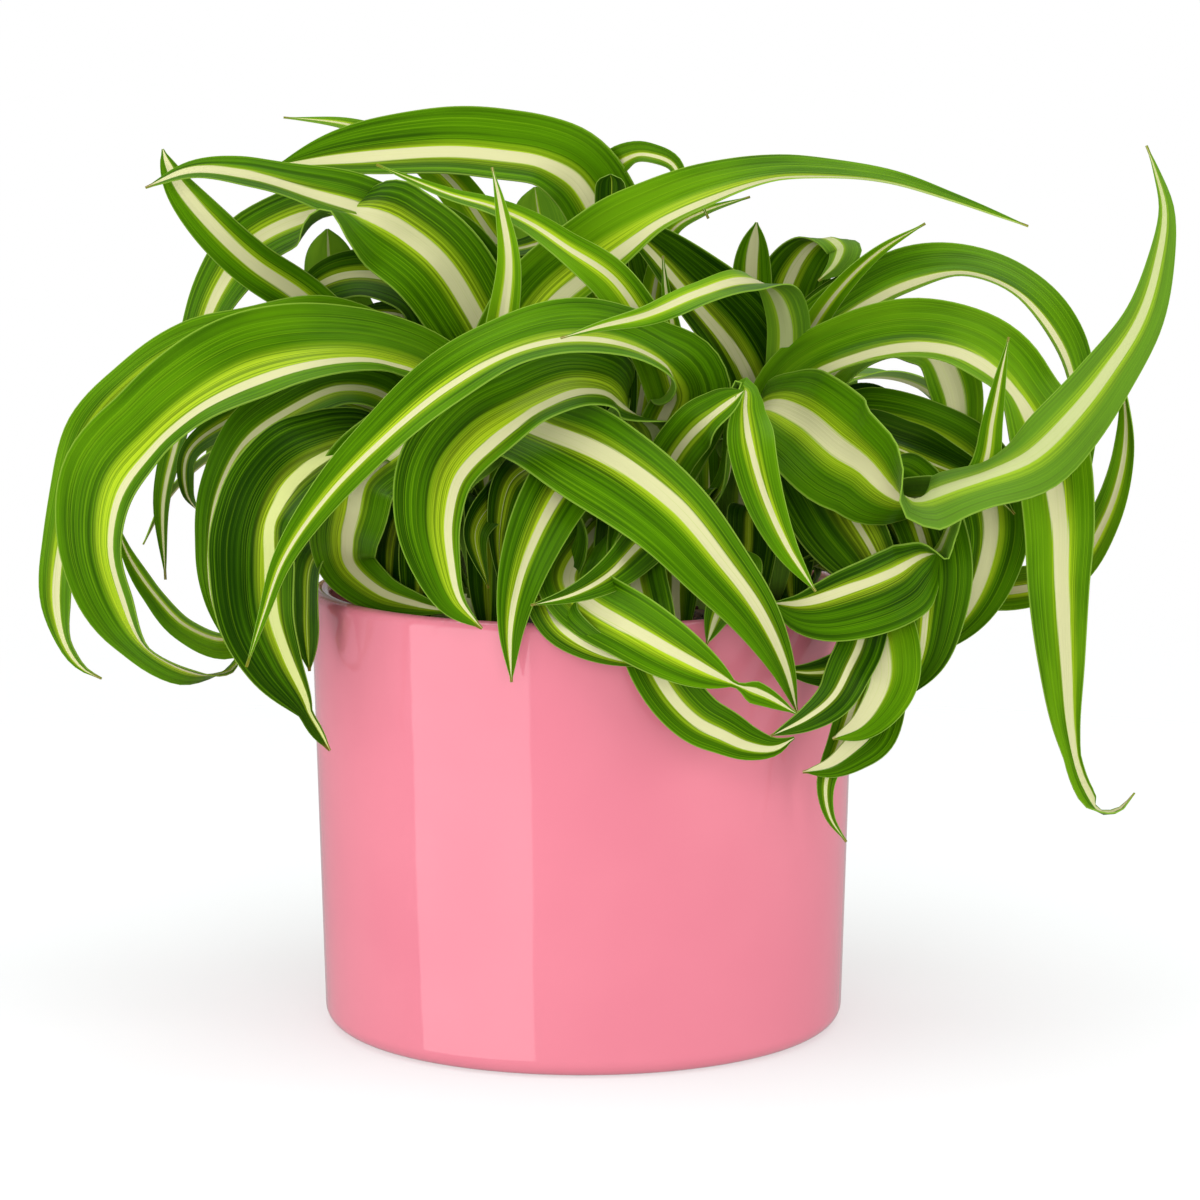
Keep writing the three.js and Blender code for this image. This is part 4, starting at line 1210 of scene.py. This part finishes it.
RIGHT_FRONT = Rosette("right_front", 46, -24, (
    Leaf("right_cascade_inner", 23, 0.15, Stripe((-0.3, -0.35, -0.35), 0.072, 0.5), (
        (51, -24, 150, "B"), (54, -30, 152, "U"), (58, -36, 144), (63, -41, 135), (70, -45, 125),
        (76, -47, 113),
    ), taper=4),
    Leaf("right_cascade_outer", 17, 0.3, Stripe((0.2, 0.35, 0.35), 0.09, 0.3), (
        (62, -20, 143, "B"), (70, -27, 146, "U"), (81, -36, 142), (86, -41, 133), (88, -45, 123),
        (87, -47, 112), (85, -48, 102), (80, -48, 92),
    ), taper=5),
    Leaf("right_spike", 9, 0.5, Stripe(), (
        (66, -34, 144, "U"), (81, -42, 138, "U"), (91, -47, 139, "UF"), (98, -50, 149),
        (100, -51, 161), (102, -50, 172), (104, -48, 181),
    )),
    Leaf("right_fan", 20, 0.3, Stripe((0.3, 0.3, 0.45), 0.117, 0.36, -0.2), (
        (65, -16, 140, "U"), (78, -28, 139, "U"), (87, -41, 139, "UR"), (91, -49, 136, "R"),
        (89, -51, 131, "R"), (87, -51, 128, "R"), (83, -52, 125, "RRF"), (79, -54, 122, "RFF"),
        (74, -58, 120), (67, -62, 118), (58, -65, 116), (52, -66, 116), (46, -66, 118),
    ), taper=8),
    Leaf("right_low_curl_inner", 13, 0.4, Stripe((0.2, 0.5, 0.55), 0.378, 0.45, -0.2), (
        (65, -10, 121, "U"), (72, -28, 111, "U"), (74, -40, 99), (74, -46, 91), (72, -50, 83),
        (67, -54, 79), (61, -57, 76), (54, -58, 75),
    ), taper=4.5),
    Leaf("right_low_curl_outer", 14, 0.6, Stripe((0.2, 0.5, 0.5), 0.378, 0.55, -0.4), (
        (67, -26, 123, "U"), (72, -38, 118, "U"), (74, -48, 112), (76, -54, 105), (76, -57, 98),
        (73, -60, 92), (68, -62, 87), (61, -62, 84),
    ), taper=4.5),
    Leaf("right_low_dark", 16, 0.1, Stripe((0, 0, 0), 0.09, 0.35), (
        (72, -34, 114, "U"), (72, -46, 105), (64, -52, 100), (56, -54, 99), (48, -54, 100),
    )),
    Leaf("rim_loop", 12, 0.2, Stripe((0, 0, 0.1), 0.144, 0.3), (
        (67, -34, 124, "U"), (70, -46, 116), (68, -56, 107), (65, -63, 102), (61, -70, 96),
        (54, -79, 92), (45, -86, 89),
    ), taper=3.4),
    Leaf("right_low_tip", 9, 0.4, Stripe(), (
        (70, -22, 123, "U"), (74, -34, 112), (69, -46, 96), (64, -50, 82), (60, -52, 71),
        (61, -53, 63), (65, -55, 57),
    ), taper=2.6),
    Leaf("right_fill_a", 13, 0.04, SHADED, (
        (50, -24, 138, "B"), (51, -28, 139, "U"), (52, -31, 129), (52, -33, 119), (53, -34, 109),
    ), taper=5),
    Leaf("right_fill_b", 13, 0.04, SHADED, (
        (46, -28, 137, "B"), (43, -31, 137, "U"), (42, -36, 128), (41, -39, 119), (41, -41, 105),
    ), taper=5),
))
RIGHT = Rosette("right", 40, 2, (
    Leaf("back_right_broad", 23, 0.18, Stripe((-0.3, -0.5, -0.5), 0.126, 0.36, 0.3), (
        (50, 14, 149), (48, 12, 164), (41, 7, 178), (29, 2, 191), (17, -1, 202), (6, 2, 208),
    )),
    Leaf("right_cross_left", 11, 0.62, Stripe((0.1, 0.2, 0), 0.27, 0.6), (
        (49, 4, 153, "B"), (52, 0, 170, "B"), (52, -6, 182, "BU"), (48, -16, 191, "U"),
        (40, -28, 193, "UF"), (29, -42, 191, "FU"), (16, -56, 187), (4, -67, 185), (-5, -75, 183),
    ), taper=1.8),
    Leaf("s_curl", 28, 0.46, Stripe((-0.05, 0.05, 0.3), 0.18, 0.5), (
        (40, -10, 149, "LU"), (41, -20, 158, "UF"), (46, -30, 163, "UF"), (54, -40, 160),
        (62, -50, 154), (68, -56, 150, "FFD"), (73, -59, 145, "FD"), (77, -60, 142, "FDD"),
        (81, -61, 141, "D"), (85, -62, 143, "DDB"), (90, -63, 145, "DDB"), (98, -65, 148, "DDB"),
        (108, -67, 153, "DB"), (117, -68, 162, "DBB"), (126, -66, 173, "B"), (135, -61, 186, "B"),
        (140, -54, 200, "B"), (142, -47, 212, "B"), (140, -42, 221, "B"), (138, -38, 227, "B"),
    ), taper=1.1, channel=0.2),
    Leaf("right_hang", 20, 0.55, Stripe((0.7, -0.05, -0.45), 0.234, 0.45, -0.2), (
        (46, -2, 153, "UF"), (53, -6, 168, "UF"), (66, -12, 176, "UF"), (83, -20, 180, "UF"),
        (98, -28, 177, "UF"), (109, -36, 167, "FR"), (115, -42, 153), (117, -46, 136),
        (117, -48, 119), (118, -48, 101), (120, -46, 83), (124, -44, 69), (129, -42, 62, "U"),
        (134, -40, 62, "U"), (138, -38, 66, "UL"),
    ), taper=2.8, channel=0.3, tail=Tail(0.93, 0.22, 1.0)),
    Leaf("right_inner_hang", 19, 0.6, Stripe((0, 0.1, 0.1), 0.378, 0.55), (
        (56, 4, 161, "UF"), (68, 2, 174, "UF"), (81, 0, 178, "UF"), (90, -2, 174, "FR"),
        (95, -4, 164), (96, -6, 153), (96, -8, 140), (95, -8, 128),
    )),
    Leaf("right_mid_band", 14, 0.12, Stripe((0.6, 0.6, 0.6), 0.054, 0.35), (
        (56, 1, 149, "U"), (70, -14, 155, "UF"), (80, -20, 153, "UF"), (90, -23, 149),
        (101, -26, 143), (108, -28, 135),
    )),
    Leaf("right_outer_curl", 19, 0.4, Stripe((0.15, 0.15, 0.3), 0.234, 0.5, -0.2), (
        (57, -4, 154, "U"), (71, -8, 157, "UF"), (89, -13, 153, "UF"), (101, -20, 143),
        (104, -25, 132), (102, -29, 121), (97, -32, 111), (90, -34, 104), (83, -35, 100),
    ), taper=3.4),
    Leaf("right_fill_c", 16, 0.04, SHADED, (
        (60, 1, 142, "U"), (72, -3, 138, "UF"), (80, -9, 131), (84, -13, 121), (86, -15, 110),
    ), taper=5),
    Leaf("right_mid_dark", 12, 0.04, Stripe((0.3, 0.3, 0.3), 0.027, 0.25), (
        (56, 9, 150, "U"), (65, 10, 156, "UF"), (72, 10, 160, "UF"), (80, 10, 156), (85, 9, 150),
        (89, 7, 141),
    ), taper=3),
))
BACK_LEFT = Rosette("back_left", -30, 34, (
    Leaf("left_back_tip", 12, 0.6, Stripe((0.1, 0.1, 0), 0.144, 0.5), (
        (-12, 34, 158), (-18, 36, 189), (-27, 36, 204), (-36, 34, 216), (-48, 32, 225, "FU"),
        (-61, 30, 230, "UF"), (-78, 28, 232, "UUF"),
    )),
    Leaf("left_long_top", 18, 0.42, Stripe((-0.4, -0.25, 0.1), 0.27, 0.5), (
        (-20, 22, 175), (-29, 20, 193), (-41, 16, 204, "FU"), (-56, 7, 211, "FU"),
        (-71, 2, 215, "FU"), (-85, -8, 219, "FU"), (-98, -16, 220, "FU"), (-109, -20, 216, "UF"),
    ), taper=3.2),
    Leaf("left_arch_twist", 25, 0.42, Stripe((0.05, 0.1, -0.2), 0.18, 0.45, 0.1), (
        (-24, 8, 170), (-31, 2, 187), (-38, -1, 197), (-47, 0, 204), (-54, 1, 208, "FU"),
        (-61, 3, 210, "U"), (-72, 8, 207, "FU"), (-84, 10, 201, "FU"), (-90, 11, 194, "FL"),
        (-96, 12, 184, "FL"), (-101, 14, 169, "FL"), (-105, 12, 152, "FL"), (-109, 8, 134, "FFL"),
        (-108, 4, 114),
    ), taper=1.5),
    Leaf("left_inner_dark", 15, 0.2, Stripe((0, 0, 0), 0.108, 0.4), (
        (-33, 18, 159), (-38, 18, 174), (-46, 17, 181, "UF"), (-55, 16, 182, "UF"),
        (-64, 14, 179, "U"),
    )),
    Leaf("left_inner_back", 23, 0.25, Stripe((0.1, 0.1, 0.1), 0.126, 0.4), (
        (-24, 24, 163), (-34, 20, 179), (-45, 16, 189, "FU"), (-58, 14, 192, "UF"),
        (-68, 14, 189, "FL"), (-74, 14, 182, "FL"), (-78, 16, 172, "FL"),
    )),
    Leaf("left_pale_back", 15, 0.95, Stripe((0, 0, 0), 0.036, 0.1), (
        (-49, 32, 163, "B"), (-61, 32, 178, "B"), (-66, 31, 191, "B"), (-67, 30, 203, "B"),
    ), taper=14),
), (
    Arch(17, 114, 150, 80, -86, 8),
    Arch(17, 142, 125, 72, -84, -4),
    Arch(14, 100, 112, 66, -84, 2),
    Arch(13, 160, 100, 58, -80, 6),
    Arch(13, 126, 92, 42, -80, 0),
    Arch(13, 104, 74, 26, -75, 0),
))
BACK = Rosette("back", 0, 28, (
    Leaf("back_hook", 13, 0.5, Stripe((0.1, 0.2, 0.2), 0.18, 0.5), (
        (4, 30, 158), (4, 28, 195), (5, 26, 210), (7, 24, 219), (13, 20, 223, "FFU"),
        (18, 16, 223, "FFU"), (23, 13, 221), (26, 10, 216), (30, 8, 211), (32, 6, 207),
    ), taper=1.6),
    Leaf("top_left_long", 20, 0.45, Stripe((-0.2, -0.25, -0.3), 0.18, 0.42), (
        (15, 28, 158), (10, 26, 195), (5, 24, 209), (-1, 22, 218), (-10, 20, 223, "FFU"),
        (-21, 18, 225, "FFU"), (-34, 17, 226, "FFU"), (-50, 17, 225, "FFU"), (-65, 18, 223, "FFU"),
        (-79, 20, 220, "FFU"),
    ), taper=6),
    Leaf("back_stub", 8, 0.04, Stripe((0.1, 0.15, 0.1), 0.027, 0.06), (
        (10, 20, 159), (8, 16, 191), (7, 12, 206), (7, 11, 218),
    ), taper=70),
    Leaf("back_tip_right", 8, 0.6, Stripe(), (
        (15, 26, 158), (19, 24, 190), (23, 20, 203, "UF"), (31, 18, 208, "UF"), (43, 16, 212, "UF"),
    )),
    Leaf("back_cross_low", 11, 0.3, Stripe((0, 0, 0), 0.144, 0.4), (
        (6, 24, 177), (-2, 26, 200, "UF"), (-17, 28, 198, "UF"), (-26, 30, 196, "UF"),
        (-35, 32, 188, "UF"),
    )),
    Leaf("back_pale", 15.5, 0.95, Stripe((0, 0, 0), 0.018, 0.1), (
        (-1, 42, 174, "B"), (-9, 48, 193, "B"), (-12, 50, 206, "B"), (-13, 50, 213, "B"),
    ), taper=20),
    Leaf("back_fill", 12, 0.04, SHADED, (
        (15, 26, 140), (21, 26, 153), (28, 24, 163), (36, 22, 168), (43, 21, 171),
    ), taper=4),
), (
    Arch(18, 86, 160, 80, -86, 4),
    Arch(16, 70, 125, 72, -86, -2),
    Arch(16, 103, 130, 70, -84, 2),
    Arch(13, 78, 102, 56, -84, 2),
    Arch(13, 96, 88, 40, -80, -2),
))
BACK_RIGHT = Rosette("back_right", 32, 34, (
    Leaf("back_upright", 11, 0.45, Stripe((-0.1, -0.1, 0), 0.27, 0.5), (
        (44, 30, 166), (44, 28, 184), (44, 26, 195), (45, 24, 205),
    ), taper=9),
    Leaf("right_tip_up", 7, 0.65, Stripe(), (
        (51, 22, 159), (59, 15, 178), (67, 9, 190), (76, 4, 199), (87, 0, 206),
    )),
    Leaf("back_right_loop", 21, 0.3, Stripe((0.2, -0.1, -0.3), 0.144, 0.4), (
        (48, 34, 158), (52, 33, 179), (56, 32, 191), (61, 30, 198, "FD"), (65, 27, 200, "D"),
        (68, 24, 198, "DB"), (66, 22, 194, "B"), (61, 21, 190, "B"),
    ), taper=3),
    Leaf("right_arch_back", 16, 0.5, Stripe((0.5, 0.6, 0.3), 0.252, 0.45, -0.2), (
        (51, 25, 159, "UF"), (58, 21, 175, "UF"), (69, 15, 185, "UF"), (84, 9, 193, "UF"),
        (99, 3, 195, "UUF"), (113, -4, 189, "UFR"), (123, -8, 176, "FR"), (127, -8, 159, "FR"),
        (127, -6, 145, "FR"), (125, -2, 130), (120, 2, 119),
    ), channel=0.3),
    Leaf("right_arch_behind", 12, 0.2, Stripe((0, 0, 0), 0.18, 0.4), (
        (57, 30, 163), (61, 28, 181, "UF"), (72, 25, 190, "UF"), (83, 21, 194, "UF"),
        (94, 18, 194, "UF"),
    )),
    Leaf("right_far_curl", 12, 0.5, Stripe((0.1, 0.1, 0.1), 0.18, 0.5), (
        (61, 14, 139, "U"), (82, 14, 123, "U"), (98, 10, 112, "UF"), (113, 4, 112), (125, 0, 117),
        (133, -6, 131), (137, -10, 147), (137, -12, 161, "FL"), (134, -12, 174, "FL"),
    )),
), (
    Arch(17, 62, 150, 80, -86, 6),
    Arch(17, 34, 125, 70, -84, 6),
    Arch(14, 80, 112, 64, -84, -2),
    Arch(13, 12, 98, 56, -82, 4),
    Arch(13, 48, 92, 42, -80, 0),
    Arch(13, 72, 74, 26, -75, 0),
))
ROSETTES = (
    LEFT_FRONT, LEFT, CENTRE, RIGHT_FRONT, RIGHT, BACK_LEFT, BACK, BACK_RIGHT,
)


@dataclass(frozen=True)
class Softbox:
    """A plain rectangular studio light that looks at a point."""

    name: str
    place: Triple
    target: Triple
    width: float
    height: float
    radiance: float
    mirrored: bool = True

    def build(self) -> None:
        """Hangs the light in its place."""
        deselect()
        bpy.ops.object.light_add(type="AREA", location=self.place)
        lamp = bpy.context.object
        lamp.name = self.name
        lamp.data.shape = "RECTANGLE"
        lamp.data.size = self.width
        lamp.data.size_y = self.height
        lamp.data.energy = self.radiance * math.pi * self.width * self.height
        towards = Vector(self.target) - Vector(self.place)
        lamp.rotation_euler = towards.to_track_quat("-Z", "Y").to_euler()
        lamp.visible_camera = False
        lamp.visible_glossy = self.mirrored


@dataclass(frozen=True)
class Studio:
    """The camera, the pale floor and the soft lights."""

    lens: float = 125.9
    sensor: float = 36.0
    camera_place: Triple = (0.0043, -1.070, 0.264)
    pitch_down: float = 8.2285
    nearest: float = 0.05
    floor_size: float = 2.4
    floor_colour: Colour = tint(245, 250, 250)
    floor_roughness: float = 0.9
    floor_gloss: float = 0.1
    floor_fade: Ramp = Ramp(0.8, 0.2, 0.5)
    fill: float = 0.46

    def build_camera(self) -> None:
        """Sets up the camera at the photograph's viewing angle."""
        deselect()
        bpy.ops.object.camera_add(
            location=self.camera_place, rotation=(math.radians(90 - self.pitch_down), 0, 0)
        )
        camera = bpy.context.object
        camera.name = "camera"
        camera.data.sensor_width = self.sensor
        camera.data.lens = self.lens
        camera.data.clip_start = self.nearest
        bpy.context.scene.camera = camera

    def build_floor(self) -> None:
        """Lays the pale floor, which fades out away from the pot."""
        deselect()
        bpy.ops.mesh.primitive_plane_add(size=self.floor_size, location=(0, 0, 0))
        floor = named("studio_floor")
        graph = Graph("pale_floor")
        length = {"operation": "LENGTH"}
        away = graph.node("ShaderNodeVectorMath", length, {0: graph.place()}, "Value")
        floor.data.materials.append(
            graph.finish(
                Base_Color=self.floor_colour,
                Roughness=self.floor_roughness,
                Specular_IOR_Level=self.floor_gloss,
                Alpha=self.floor_fade.of(away),
            )
        )
        floor.visible_glossy = False

    def build_lights(self) -> None:
        """Sets up the surrounding light and the softboxes."""
        world = bpy.data.worlds.new("studio_air")
        bpy.context.scene.world = world
        world.use_nodes = True
        tree = world.node_tree
        seen = tree.nodes.new("ShaderNodeLightPath")
        strength = tree.nodes.new("ShaderNodeMapRange")
        strength.inputs["To Min"].default_value = self.fill
        strength.inputs["To Max"].default_value = 1.0
        tree.links.new(seen.outputs["Is Camera Ray"], strength.inputs["Value"])
        air = tree.nodes["Background"]
        air.inputs["Color"].default_value = (1, 1, 1, 1)
        tree.links.new(strength.outputs[0], air.inputs["Strength"])
        for softbox in (
            Softbox("left_strip", (-0.82, -0.74, -0.05), (0, 0, -0.05), 1.10, 1.0, 1.7),
            Softbox("right_wall", (1.5, -0.5, 0.1), (0, 0, 0.05), 1.6, 1.2, 2.9, mirrored=False),
            Softbox("top_box", (0.0, -0.1, 2.2), (0, 0, 0.15), 2.4, 2.4, 2.0),
            Softbox("left_key", (-1.0, -1.6, 0.4), (0, 0, 0.12), 1.2, 1.2, 0.8, mirrored=False),
            Softbox("left_wall", (-1.5, -0.2, 0.1), (0, 0, 0.05), 1.6, 1.2, 1.4, mirrored=False),
            Softbox("front_fill", (0.1, -2.1, 0.6), (0, 0, 0.1), 1.6, 1.2, 3.1, mirrored=False),
        ):
            softbox.build()
        bpy.context.scene.view_settings.view_transform = "Standard"


def main() -> None:
    """Builds the plant in its pot and the studio around it."""
    logging.basicConfig(level=logging.INFO, format="%(name)s: %(message)s")
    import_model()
    studio = Studio()
    studio.build_camera()
    settle(Pot().build(), "pot")
    settle(SoilBed().build(), "soil")
    blade = Blade()
    strip = blade.strip()
    leaf = LeafFinish()
    finishes = [leaf.make(LeafSide.UPPER), leaf.make(LeafSide.UNDER), STEM.make()]
    for rosette in ROSETTES:
        settle(rosette.build(blade, strip, finishes), rosette.node)
    bpy.data.objects.remove(strip)
    studio.build_floor()
    studio.build_lights()
    LOG.info("all pieces made")


if __name__ == "__main__":
    main()
